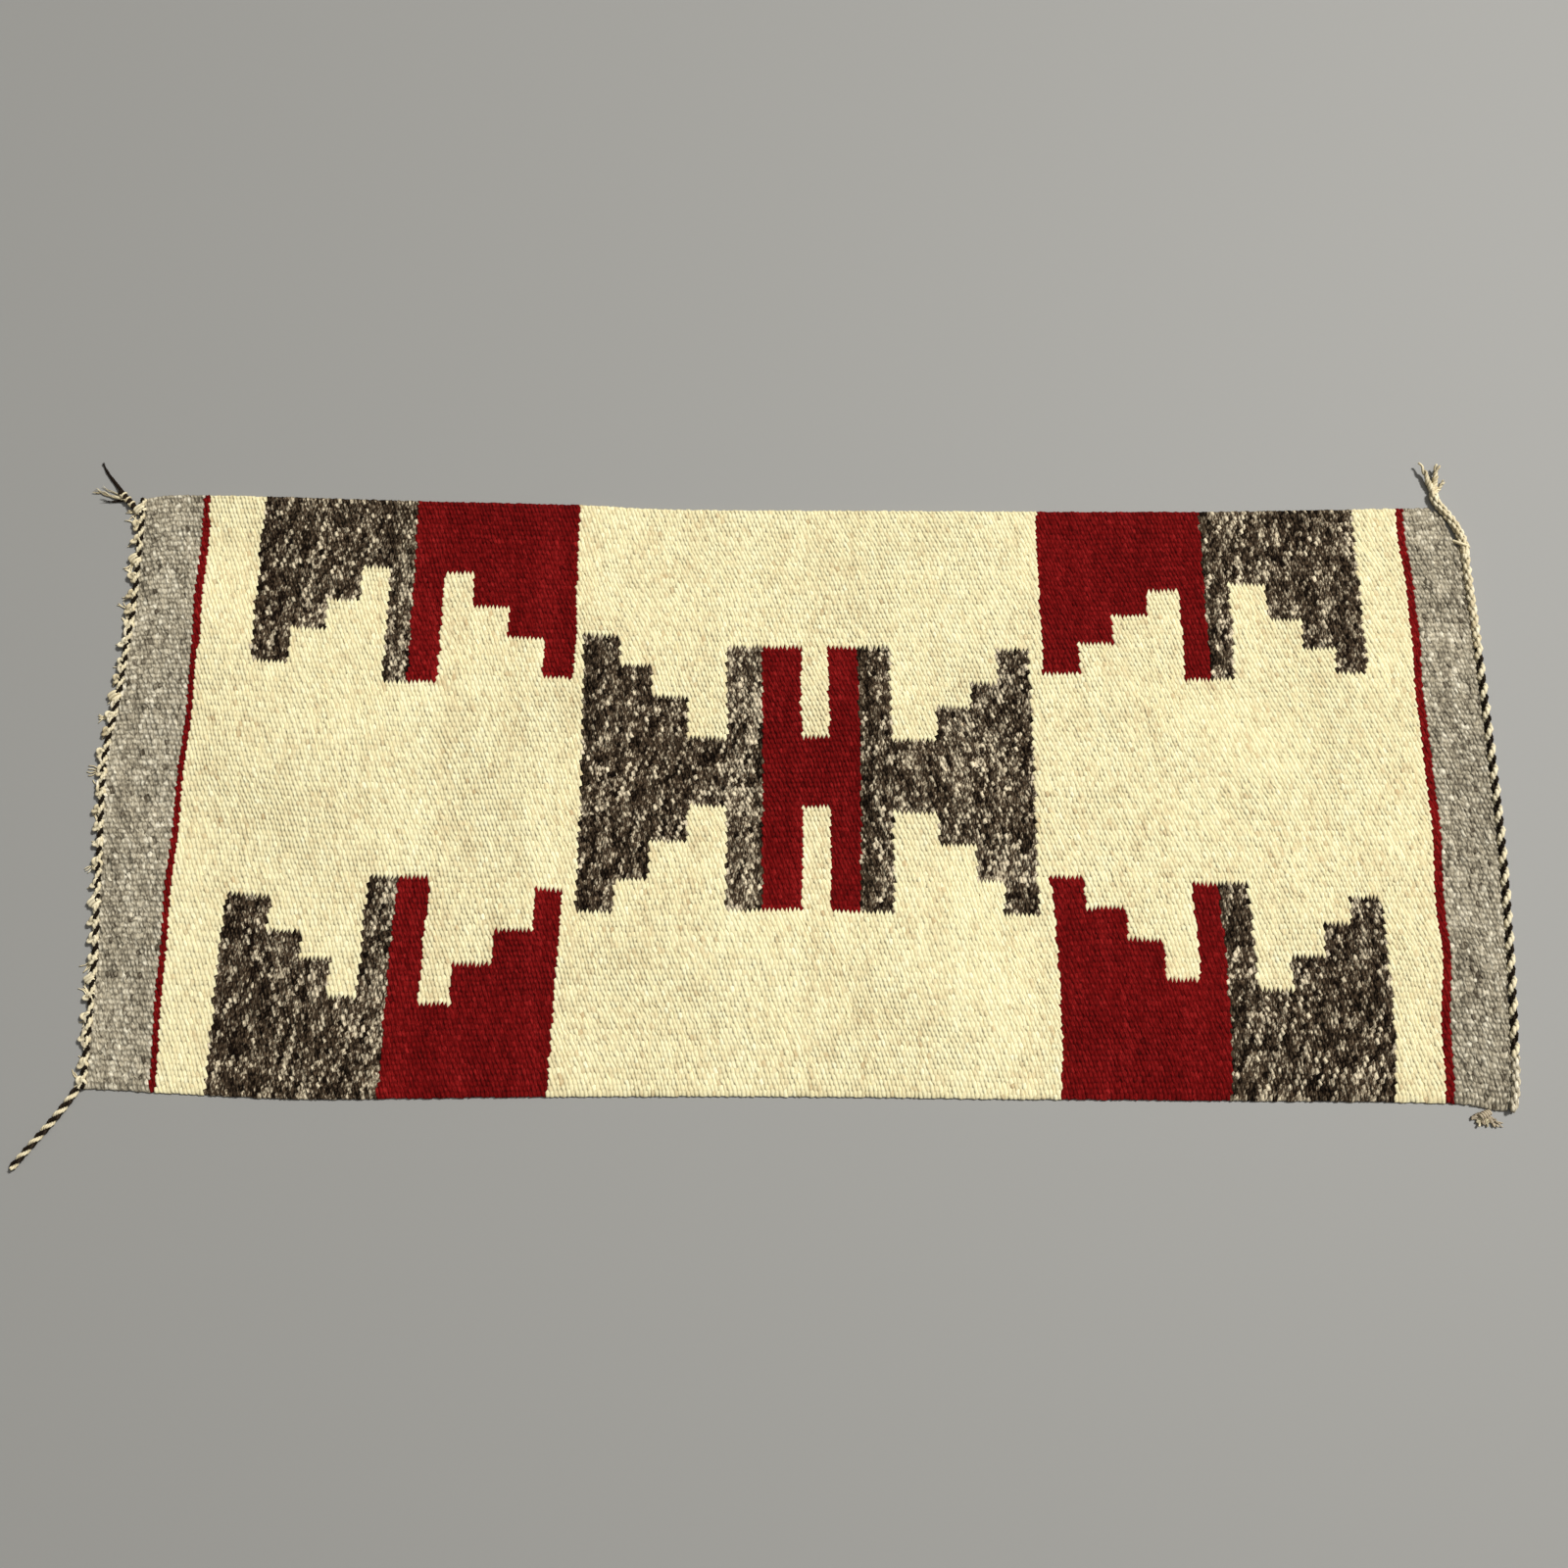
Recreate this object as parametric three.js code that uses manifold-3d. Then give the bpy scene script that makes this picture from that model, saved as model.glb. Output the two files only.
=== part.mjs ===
// A small hand-woven tapestry rug lying flat, in millimetres, +Z up, +X along its length.
// The origin is the middle of the cloth's underside, so the floor is the plane z = 0.

import * as THREE from 'three';
import { mergeVertices } from 'three/addons/utils/BufferGeometryUtils.js';
import Module from 'manifold-3d';

const wasm = await Module();
wasm.setup();

// Driving sizes; a clearance keeps a round cord or knot off the cloth where the edge curves
const CLOTH = { thickness: 4, rimRound: 1.4, rimSteps: 2, longSteps: 36, shortSteps: 18 };
const GAP = 0.3;
const CLEARANCE = 0.4;
const CORD = { radius: 2.4, waist: 0.72, sides: 6, lay: 14.5, stepsPerLay: 5, endRound: 4, narrowEnd: 0.55 };
const KNOTTED_CORD = { ...CORD, sides: 4, stepsPerLay: 3 };
const TAIL = { ...CORD, radius: 3.2, waist: 0.7, lay: 10.5, endRound: 5 };
const KNOT = { count: 32, along: 4.6, out: 3.6, high: 2.8, sides: 8, rings: 4, endMargin: 7 };
const STRAND = { root: 0.9, tip: 0.45, sides: 3, steps: 2, rest: 0.15 };
const FRAYED = { spread: 17, shortest: 7, swing: 3.5, longPhase: 2.4, shortPhase: 1.7, steps: 1 };
const WRAP = { radius: 3, sides: 10, rings: 6 };
const EDGE_SAMPLES = 16;
const SAME_POINT = 1e-4;

// The four edges of the cloth, walked anticlockwise; columns are x and y
const FRONT_EDGE = [
  [-492, -221], [-410, -224.5], [-334, -226.5], [-170, -223], [-7, -221],
  [156, -221], [306, -220.5], [457, -220.5], [495, -225],
];
const RIGHT_EDGE = [
  [495, -225], [499, -204], [504, -130], [507, -29], [505, 100], [502, 194], [494, 213], [483, 226],
];
const BACK_EDGE = [
  [483, 226], [462, 225.5], [304, 221], [109, 219.5], [-86, 218.5],
  [-168, 221.5], [-290, 223.5], [-455, 226.5], [-500, 222.5],
];
const LEFT_EDGE = [
  [-500, 222.5], [-497.8, 142], [-499.3, 100], [-501.5, 58], [-505, 24], [-505, 0],
  [-501.5, -42], [-497.5, -97], [-494.3, -135], [-492, -221],
];

// The middle line of the front left tail; columns are x and y
const TAIL_ROUTE = [[-500.5, -227.5], [-511, -243], [-524, -260], [-536, -276.5]];

// Wrapped heads of the corner tufts: x, y, heading of the wrap in degrees, and its length
const BACK_LEFT_HEAD = { x: -515.3, y: 223.7, heading: 134, length: 14 };
const BACK_RIGHT_HEAD = { x: 486.5, y: 240, heading: 112, length: 14 };
const FRONT_RIGHT_HEAD = { x: 477.5, y: -229.5, heading: 200, length: 12 };

// Loose strands of the corner tufts; columns are heading in degrees, length and lift of the tip
const BACK_LEFT_STRANDS = [[130, 36, 0], [147, 22, 0], [163, 26, 0], [184, 17, 0]];
const BACK_RIGHT_STRANDS = [[117, 25, 6], [104, 21, 5], [90, 23, 6], [52, 14, 3]];
const FRONT_RIGHT_STRANDS = [
  [-168, 10, 0], [-140, 9, 0], [-105, 8, 0], [-75, 8, 0], [-48, 10, 0], [-22, 13, 0],
];

// Colours of the wool and cotton yarns
const YARN = { cream: 0xeee3bd, darkAndCream: 0x8f8268, tan: 0xa89a80 };

function yarnMaterial(color) {
  return new THREE.MeshStandardMaterial({ color, roughness: 0.95, metalness: 0 });
}

function alongTable(rows) {
  return new THREE.SplineCurve(rows.map(([x, y]) => new THREE.Vector2(x, y)));
}

// Closed solids from three.js geometry, and their union
function toSolid(geometry) {
  const bare = geometry.clone();
  bare.deleteAttribute('normal');
  bare.deleteAttribute('uv');
  const merged = mergeVertices(bare.index ? bare.toNonIndexed() : bare, SAME_POINT);
  return new wasm.Manifold(new wasm.Mesh({
    numProp: 3,
    vertProperties: new Float32Array(merged.attributes.position.array),
    triVerts: new Uint32Array(merged.index.array),
  }));
}

function toGeometry(solid) {
  const { vertProperties, triVerts } = solid.getMesh();
  const geometry = new THREE.BufferGeometry();
  geometry.setAttribute('position', new THREE.BufferAttribute(new Float32Array(vertProperties), 3));
  geometry.setIndex(new THREE.BufferAttribute(new Uint32Array(triVerts), 1));
  geometry.computeVertexNormals();
  return geometry;
}

function union(geometries) {
  return toGeometry(geometries.map(toSolid).reduce((whole, next) => whole.add(next)));
}

// Moves a geometry that stands along +Z onto a curve, turning and scaling it on the way
function layAlong(geometry, path, length, turnAt = () => 0, scaleAt = () => 1) {
  const position = geometry.attributes.position;
  const up = new THREE.Vector3(0, 0, 1);
  for (let i = 0; i < position.count; i += 1) {
    const s = position.getZ(i);
    const share = THREE.MathUtils.clamp(s / length, 0, 1);
    const flat = new THREE.Vector2(position.getX(i), position.getY(i));
    flat.rotateAround(new THREE.Vector2(), turnAt(s)).multiplyScalar(scaleAt(s));
    const tangent = path.getTangentAt(share);
    const side = new THREE.Vector3().crossVectors(up, tangent).normalize();
    const rise = new THREE.Vector3().crossVectors(tangent, side);
    const point = path.getPointAt(share).addScaledVector(side, flat.x).addScaledVector(rise, flat.y);
    position.setXYZ(i, point.x, point.y, point.z);
  }
  return geometry;
}

// A two-ply cord: a section with two lobes that turns once in every lay
function twistedCord(path, cord) {
  const length = path.getLength();
  const section = new THREE.Shape();
  for (let i = 0; i < cord.sides; i += 1) {
    const angle = (2 * Math.PI * i) / cord.sides;
    const radius = cord.radius * (cord.waist + (1 - cord.waist) * Math.cos(angle) ** 2);
    const corner = [radius * Math.cos(angle), radius * Math.sin(angle)];
    if (i === 0) section.moveTo(...corner);
    else section.lineTo(...corner);
  }
  section.closePath();
  const steps = Math.round((length / cord.lay) * cord.stepsPerLay);
  const straight = new THREE.ExtrudeGeometry(section, { depth: length, steps, bevelEnabled: false });
  const roundedEnd = (s) => {
    const inward = THREE.MathUtils.clamp(Math.min(s, length - s) / cord.endRound, 0, 1);
    return cord.narrowEnd + (1 - cord.narrowEnd) * Math.sqrt(inward);
  };
  return layAlong(straight, path, length, (s) => (2 * Math.PI * s) / cord.lay, roundedEnd);
}

// One loose strand, a tapering three-sided lock that comes down to lie level on the floor
function strand(root, heading, length, lift = 0, steps = STRAND.steps) {
  const geometry = new THREE.CylinderGeometry(STRAND.tip, STRAND.root, length, STRAND.sides, steps);
  geometry.translate(0, length / 2, 0).rotateX(Math.PI / 2);
  const angle = THREE.MathUtils.degToRad(heading);
  const away = new THREE.Vector3(Math.cos(angle), Math.sin(angle), 0);
  const level = STRAND.root + STRAND.rest;
  const middle = root.clone().addScaledVector(away, length / 2).setZ(level + lift / 2);
  const end = root.clone().addScaledVector(away, length).setZ(level + lift);
  return layAlong(geometry, new THREE.CatmullRomCurve3([root, middle, end]), length);
}

function knot(centre, heading) {
  const geometry = new THREE.SphereGeometry(1, KNOT.sides, KNOT.rings);
  geometry.scale(KNOT.out, KNOT.along, KNOT.high).rotateZ(heading);
  return geometry.translate(centre.x, centre.y, centre.z);
}

// The woven cloth, one flat piece with a rounded rim
function cloth() {
  const outline = [];
  const sides = [
    [FRONT_EDGE, CLOTH.longSteps], [RIGHT_EDGE, CLOTH.shortSteps],
    [BACK_EDGE, CLOTH.longSteps], [LEFT_EDGE, CLOTH.shortSteps],
  ];
  for (const [rows, steps] of sides) outline.push(...alongTable(rows).getSpacedPoints(steps).slice(0, -1));
  const geometry = new THREE.ExtrudeGeometry(new THREE.Shape(outline), {
    depth: CLOTH.thickness - 2 * CLOTH.rimRound,
    bevelThickness: CLOTH.rimRound,
    bevelSize: CLOTH.rimRound,
    bevelOffset: -CLOTH.rimRound,
    bevelSegments: CLOTH.rimSteps,
  });
  return toGeometry(toSolid(geometry.translate(0, 0, CLOTH.rimRound)));
}

// A curve beside one edge of the cloth; the walk is anticlockwise, so out is to its right
function besideEdge(rows, radius, height) {
  const edge = alongTable(rows);
  const out = GAP + radius + CLEARANCE;
  const points = [];
  for (let i = 0; i <= EDGE_SAMPLES; i += 1) {
    const at = edge.getPointAt(i / EDGE_SAMPLES);
    const tangent = edge.getTangentAt(i / EDGE_SAMPLES);
    points.push(new THREE.Vector3(at.x + tangent.y * out, at.y - tangent.x * out, height));
  }
  return new THREE.CatmullRomCurve3(points);
}

// The left end: a twisted cord that carries the knotted warp ends, each with two frayed strands
function leftEnd() {
  const pieces = [twistedCord(besideEdge(LEFT_EDGE, CORD.radius, CORD.radius), KNOTTED_CORD)];
  const knotPath = besideEdge(LEFT_EDGE, KNOT.out, KNOT.high);
  const margin = KNOT.endMargin / knotPath.getLength();
  for (let i = 0; i < KNOT.count; i += 1) {
    const share = margin + (1 - 2 * margin) * (i / (KNOT.count - 1));
    const centre = knotPath.getPointAt(share);
    const tangent = knotPath.getTangentAt(share);
    const outward = THREE.MathUtils.radToDeg(Math.atan2(-tangent.x, tangent.y));
    const long = FRAYED.shortest + FRAYED.swing * Math.sin(i * FRAYED.longPhase) ** 2;
    const short = FRAYED.shortest - (FRAYED.swing * Math.cos(i * FRAYED.shortPhase) ** 2) / 2;
    pieces.push(knot(centre, Math.atan2(tangent.y, tangent.x) - Math.PI / 2));
    pieces.push(strand(centre, outward + FRAYED.spread, long, 0, FRAYED.steps));
    pieces.push(strand(centre, outward - FRAYED.spread, short, 0, FRAYED.steps));
  }
  return union(pieces);
}

function rightEnd() {
  return union([twistedCord(besideEdge(RIGHT_EDGE, CORD.radius, CORD.radius), CORD)]);
}

// The corner tassels: one twisted tail and three frayed tufts, each gathered by its own wrapped head
function frontLeftTail() {
  const points = TAIL_ROUTE.map(([x, y]) => new THREE.Vector3(x, y, TAIL.radius));
  return union([twistedCord(new THREE.CatmullRomCurve3(points), TAIL)]);
}

function tuft(head, rows) {
  const root = new THREE.Vector3(head.x, head.y, WRAP.radius);
  const wrap = new THREE.SphereGeometry(1, WRAP.sides, WRAP.rings);
  wrap.scale(head.length / 2, WRAP.radius, WRAP.radius);
  wrap.rotateZ(THREE.MathUtils.degToRad(head.heading)).translate(root.x, root.y, root.z);
  const strands = rows.map(([heading, length, lift]) => strand(root, heading, length, lift));
  return union([wrap, ...strands]);
}

const rug = new THREE.Group();

function addPiece(name, geometry, color) {
  const mesh = new THREE.Mesh(geometry, yarnMaterial(color));
  mesh.name = name;
  rug.add(mesh);
}

addPiece('rug_cloth', cloth(), YARN.cream);
addPiece('left_end_knots', leftEnd(), YARN.cream);
addPiece('right_end_cord', rightEnd(), YARN.darkAndCream);
addPiece('front_left_tail', frontLeftTail(), YARN.darkAndCream);
addPiece('back_left_tuft', tuft(BACK_LEFT_HEAD, BACK_LEFT_STRANDS), YARN.darkAndCream);
addPiece('back_right_tuft', tuft(BACK_RIGHT_HEAD, BACK_RIGHT_STRANDS), YARN.cream);
addPiece('front_right_tuft', tuft(FRONT_RIGHT_HEAD, FRONT_RIGHT_STRANDS), YARN.tan);

export default rug;
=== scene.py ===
# %% [markdown]
# # A hand-woven tapestry rug
#
# The solids of the rug arrive as a fixed frame: one flat cloth, two end cords and four corner tassels.
# This lesson dresses them with yarn. Lengths of the rug are written in millimetres and turned into metres
# once, where a mesh is made, because rug makers and Blender disagree about the handy unit.

# %% Load the frame
import math

import bpy
import numpy as np
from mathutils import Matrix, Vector


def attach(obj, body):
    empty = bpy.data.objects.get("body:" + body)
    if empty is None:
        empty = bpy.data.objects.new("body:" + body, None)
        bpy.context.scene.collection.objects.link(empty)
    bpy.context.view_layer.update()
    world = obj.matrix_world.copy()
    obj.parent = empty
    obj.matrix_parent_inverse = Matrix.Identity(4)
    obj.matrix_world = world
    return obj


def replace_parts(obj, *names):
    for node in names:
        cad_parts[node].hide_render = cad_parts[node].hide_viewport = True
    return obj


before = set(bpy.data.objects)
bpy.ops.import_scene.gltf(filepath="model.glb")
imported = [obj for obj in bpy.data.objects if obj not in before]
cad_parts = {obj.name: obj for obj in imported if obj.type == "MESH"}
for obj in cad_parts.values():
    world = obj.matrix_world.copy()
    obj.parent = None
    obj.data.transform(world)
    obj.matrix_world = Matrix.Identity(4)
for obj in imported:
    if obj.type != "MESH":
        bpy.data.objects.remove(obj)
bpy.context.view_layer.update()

MM = 0.001
rng = np.random.default_rng(1907)
print("frame nodes:", sorted(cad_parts))

# %% [markdown]
# ## Camera, floor and light
#
# The rug lies on the floor and is seen from a little over a metre up, looking steeply down. A long lens
# could be used from further away, but the two short edges would then lie parallel; a near camera keeps
# their slight spread towards the near edge.

# %% Camera
CAMERA_PLACE_MM = (-5.9, -285.0, 1108.3)
CAMERA_DOWN_DEG = 75.42
CAMERA_TURN_DEG = 0.63
SENSOR_MM = 36.0
LENS_MM = 36.0

camera_data = bpy.data.cameras.new("photo_camera")
camera_data.sensor_width = SENSOR_MM
camera_data.lens = LENS_MM
camera = bpy.data.objects.new("photo_camera", camera_data)
camera.location = [n * MM for n in CAMERA_PLACE_MM]
camera.rotation_euler = (math.radians(90 - CAMERA_DOWN_DEG), 0, math.radians(CAMERA_TURN_DEG))
bpy.context.collection.objects.link(camera)
bpy.context.scene.camera = camera
print("camera height in metres:", round(camera.location.z, 3))

# %% [markdown]
# The floor is a plain grey sheet a hair below the cloth. Light comes from one lamp high up behind the
# right end, so that every bead of yarn has a lit and a shaded side, and from a wide lamp overhead that
# softens the shade. A sky picture would also light the rug, but its soft light from everywhere hides
# the weave.

# %% Floor and lamps
FLOOR_HALF_M = 6.0
FLOOR_CORNERS = [(-1, -1), (1, -1), (1, 1), (-1, 1)]
FLOOR_DROP_MM = 0.25
FLOOR_COLOUR = (0.245, 0.24, 0.222, 1)
FLOOR_ROUGHNESS = 0.7


def new_material(name):
    material = bpy.data.materials.new(name)
    material.use_nodes = True
    return material, material.node_tree, material.node_tree.nodes["Principled BSDF"]


floor_mesh = bpy.data.meshes.new("floor")
floor_mesh.from_pydata(
    [(x * FLOOR_HALF_M, y * FLOOR_HALF_M, -FLOOR_DROP_MM * MM) for x, y in FLOOR_CORNERS],
    [],
    [range(len(FLOOR_CORNERS))],
)
floor = bpy.data.objects.new("floor", floor_mesh)
bpy.context.collection.objects.link(floor)
floor_material, _, floor_shader = new_material("plain_floor")
floor_shader.inputs["Base Color"].default_value = FLOOR_COLOUR
floor_shader.inputs["Roughness"].default_value = FLOOR_ROUGHNESS
floor_mesh.materials.append(floor_material)


# Places and sizes of the lamps in metres, power in watts
SIDE_LAMP = dict(place=(3.6, 2.4, 6.2), size=0.95, power=750)
OVERHEAD_LAMP = dict(place=(0.2, -0.3, 2.6), size=2.4, power=16)
SKY_COLOUR = (1, 0.98, 0.95, 1)
SKY_STRENGTH = 0.13


def area_lamp(name, place, size, power):
    """A square lamp that shines at the middle of the rug."""
    data = bpy.data.lights.new(name, "AREA")
    data.size = size
    data.energy = power
    lamp = bpy.data.objects.new(name, data)
    lamp.location = place
    lamp.rotation_euler = (-Vector(place)).to_track_quat("-Z", "Y").to_euler()
    bpy.context.collection.objects.link(lamp)


area_lamp("side_lamp", **SIDE_LAMP)
area_lamp("overhead_lamp", **OVERHEAD_LAMP)
world = bpy.data.worlds.new("studio")
world.use_nodes = True
sky = world.node_tree.nodes["Background"]
sky.inputs["Color"].default_value = SKY_COLOUR
sky.inputs["Strength"].default_value = SKY_STRENGTH
bpy.context.scene.world = world
bpy.context.scene.view_settings.view_transform = "Standard"

# %% [markdown]
# ## The outline of the cloth
#
# A hand loom never gives a true rectangle. Each edge is a short table of points with a smooth curve
# through them, the same curve that the solid has. Every bead of the weave is placed between these
# edges. The left end is pushed out in its middle, but the red line inside it stays straight. So a
# second, straighter table says how the wefts run, and only the plain end is stretched from there to the
# true edge.

# %% Edges
FRONT_EDGE = [
    (-492, -221), (-410, -224.5), (-334, -226.5), (-170, -223), (-7, -221),
    (156, -221), (306, -220.5), (457, -220.5), (495, -225),
]
BACK_EDGE = [
    (-500, 222.5), (-455, 226.5), (-290, 223.5), (-168, 221.5), (-86, 218.5),
    (109, 219.5), (304, 221), (462, 225.5), (503, 226),
]
LEFT_EDGE = [
    (-492, -221), (-494.3, -135), (-497.5, -97), (-501.5, -42), (-505, 0),
    (-505, 24), (-501.5, 58), (-499.3, 100), (-497.8, 142), (-500, 222.5),
]
LEFT_WEFT = [(-492, -221), (-494.5, -116), (-496.5, -8), (-498.5, 105), (-500, 222.5)]
RIGHT_EDGE = [(495, -225), (499, -204), (504, -130), (507, -29), (505, 100), (502, 194)]
CUT_CORNER = [(502, 194), (494, 213), (483, 226)]
CURVE_STEPS = 24


def smooth_curve(rows):
    """Points on a Catmull-Rom curve through the rows."""
    p = np.array(rows, float)
    p = np.vstack([2 * p[0] - p[1], p, 2 * p[-1] - p[-2]])
    t = np.linspace(0, 1, CURVE_STEPS, endpoint=False)[:, None]
    parts = []
    for a, b, c, d in zip(p, p[1:], p[2:], p[3:]):
        square = (2 * a - 5 * b + 4 * c - d) * t**2
        cube = (3 * b - a - 3 * c + d) * t**3
        parts.append(0.5 * (2 * b + (c - a) * t + square + cube))
    return np.vstack(parts + [p[-2:-1]])


front_line = smooth_curve(FRONT_EDGE)
back_line = smooth_curve(BACK_EDGE)
left_line = smooth_curve(LEFT_EDGE)
weft_line = smooth_curve(LEFT_WEFT)
right_line = smooth_curve(RIGHT_EDGE)
cut_line = smooth_curve(CUT_CORNER)


def front_y(x):
    return np.interp(x, front_line[:, 0], front_line[:, 1])


def back_y(x):
    return np.interp(x, back_line[:, 0], back_line[:, 1])


def left_x(y):
    return np.interp(y, left_line[:, 1], left_line[:, 0])


def weft_x(y):
    """Where the left edge would be had the plain end not been pushed out in its middle."""
    return np.interp(y, weft_line[:, 1], weft_line[:, 0])


def right_x(y):
    return np.interp(y, right_line[:, 1], right_line[:, 0])


def corner_x(y):
    """The right limit of the cloth, with the drawn-in back corner."""
    cut_x = np.interp(y, cut_line[:, 1], cut_line[:, 0])
    return np.where(y > CUT_CORNER[0][1], cut_x, right_x(y))


LENGTH = 1000.0
WIDTH = 445.0
LEFT_END = -496.0

# How far in from the left edge the push reaches
BULGE_WIDTH = 44.0


def on_cloth(chart_x, chart_y):
    """Where a point of the flat chart lies on the uneven cloth."""
    u = (chart_x - LEFT_END) / LENGTH
    v = chart_y / WIDTH + 0.5
    y = front_y(chart_x) + v * (back_y(chart_x) - front_y(chart_x))
    bulge = np.clip(1 - (chart_x - LEFT_END) / BULGE_WIDTH, 0, 1)
    x = weft_x(y) + u * (right_x(y) - weft_x(y)) + bulge * (left_x(y) - weft_x(y))
    return x, y


print("cloth outline, mm:", np.ptp(back_line[:, 0]).round(1), "by", (back_y(0) - front_y(0)).round(1))

# %% [markdown]
# ## The chart
#
# A weaver counts the design in steps. The design here is the old terraced one: blocks of brown and red
# that climb in stairs, hung from both long edges and crossed in the middle. Each block is a row of
# columns, written as where the column starts along the rug and how far it reaches across.

# %% Charted columns
CREAM, RED, BROWN, BORDER = range(4)
YARN_NAMES = ["cream_wool", "red_wool", "brown_wool", "border_wool"]
BACK, FRONT = 1, -1
LEFT, RIGHT = -1, 1

# Each block: which edge it grows from, its yarn, and columns of (start, reach); the last row only ends it
BLOCKS = [
    (BACK, BROWN, [(-408, 91), (-380, 119), (-354, 142.5), (-330, 169), (-309, 81), (-290.5, None)]),
    (BACK, RED, [(-290.5, 81), (-268, 166), (-245, 137.5), (-217.5, 114), (-190.5, 84.5), (-167.5, None)]),
    (FRONT, BROWN, [(-408, -85), (-376, -106.5), (-351, -127.5), (-329, -154), (-308, -68), (-287, None)]),
    (FRONT, RED, [(-287, -68), (-264, -158.5), (-242, -131.5), (-215, -105), (-187.5, -77), (-168, None)]),
    (BACK, RED, [(182, 90), (209, 115), (235, 138), (262, 158.5), (287, 88), (306, None)]),
    (BACK, BROWN, [(306, 87), (324.5, 161), (352, 135), (377, 112), (400, 92.5), (422.5, None)]),
    (FRONT, RED, [(187, -64), (210.5, -87), (238, -111), (263, -138.5), (287, -69), (306, None)]),
    (FRONT, BROWN, [(306, -69), (327, -145), (352, -121), (377, -97), (398, -78), (421, None)]),
]

# The wefts bow a little, so each corner drifts along the rug: shift at the inner end and at the edge
BLOCK_BOW = {
    (BACK, LEFT): (1.8, 3.6), (FRONT, LEFT): (1.0, -3.2),
    (BACK, RIGHT): (-1.0, 1.2), (FRONT, RIGHT): (-6.5, 1.8),
}
BOW_FROM = 60.0

# The middle figure: columns of (start, end, front, back, yarn)
MIDDLE_FIGURE = [
    (-158, -131.5, -90, 119, BROWN), (-131.5, -107, -68, 96, BROWN), (-107, -80, -41, 71, BROWN),
    (-80, -51.5, -14.5, 41, BROWN), (-51.5, -25.5, -91, 109, BROWN), (-25.5, 3, -89.5, 111, RED),
    (3, 23.5, -15, 41.5, RED), (23.5, 45.5, -92, 110, RED), (45.5, 69, -91.5, 108.5, BROWN),
    (69, 102, -16, 38.5, BROWN), (102, 128.5, -42.5, 65, BROWN), (128.5, 148, -66.5, 84, BROWN),
    (148, 172, -90, 109.5, BROWN),
]

# The thin red line that closes each plain end; the left one is a pick wider for a stretch
LEFT_LINE = dict(start=-450.2, picks=3, wide=(100.0, 198.0), wide_picks=4)
RIGHT_LINE = dict(start=458.5, picks=4, wide=(0.0, 0.0), wide_picks=4)

# Two picks of the weave fill one pitch along the rug
PITCH = 2.95
steps = int(round(LENGTH / PITCH))
half_pitch = LENGTH / steps / 2


def line_limits(line, y):
    """The first pick of a red line and the pick after its last one."""
    first = np.round((line["start"] - LEFT_END) / half_pitch)
    wide_from, wide_to = line["wide"]
    picks = np.where((y > wide_from) & (y < wide_to), line["wide_picks"], line["picks"])
    return first, first + picks


def yarn_at(x, y, pick):
    """The yarn of each chart point; the red lines follow the picks."""
    yarn = np.full(x.shape, CREAM)
    inward = 1 - np.clip((np.abs(y) - BOW_FROM) / (WIDTH / 2 - BOW_FROM), 0, 1)
    for edge, block_yarn, columns in BLOCKS:
        inner, outer = BLOCK_BOW[edge, RIGHT if columns[0][0] > 0 else LEFT]
        straight_x = x - outer - (inner - outer) * inward**2
        for (start, reach), (end, _) in zip(columns, columns[1:]):
            across = (y >= reach) if edge == BACK else (y < reach)
            yarn[(straight_x >= start) & (straight_x < end) & across] = block_yarn
    for start, end, low, high, column_yarn in MIDDLE_FIGURE:
        yarn[(x >= start) & (x < end) & (y >= low) & (y < high)] = column_yarn
    left_first, left_after = line_limits(LEFT_LINE, y)
    right_first, right_after = line_limits(RIGHT_LINE, y)
    yarn[(pick < left_first) | (pick >= right_after)] = BORDER
    yarn[(pick >= left_first) & (pick < left_after)] = RED
    yarn[(pick >= right_first) & (pick < right_after)] = RED
    return yarn


print("chart blocks:", len(BLOCKS), "and", len(MIDDLE_FIGURE), "columns in the middle figure")

# %% [markdown]
# ## The lattice of the weave
#
# In a weft-faced weave the warps are hidden. Each weft shows as a bead where it passes over a warp, and
# the beads of neighbouring warps sit half a step apart, like bricks. So the surface is a lattice of
# zigzag seams, and a bead is the six-cornered patch between two of them. The corners are shared and
# moved a little at random, which keeps the beads touching and makes the weave look beaten by hand.

# %% Lattice of seams
WARPS = 115
WARP_STEP = WIDTH / WARPS
TIP = 0.70
SEAM_JITTER_X = 0.26
SEAM_JITTER_Y = 0.42
SEAM_LEAN = 0.44
LOOSE_ZONE = 463.0
LOOSE_JITTER = 1.7
DRIFT_X = 1.1
DRIFT_Y = 0.7
DRIFT_REACH = (5, 14)
SELVEDGE_WOBBLE = 0.25
KERNEL_ENDS = 3


def smoothed(noise, reach, axis):
    """Noise made smooth along one axis, with a spread of one."""
    ends = KERNEL_ENDS * reach
    kernel = np.exp(-0.5 * (np.arange(-ends, ends + 1) / reach) ** 2)
    done = np.apply_along_axis(lambda row: np.convolve(row, kernel, mode="same"), axis, noise)
    return done / done.std()


def slow_noise(shape):
    """Noise that changes slowly over the whole cloth."""
    noise = rng.normal(size=shape)
    for axis, reach in enumerate(DRIFT_REACH):
        noise = smoothed(noise, reach, axis)
    return noise


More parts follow.
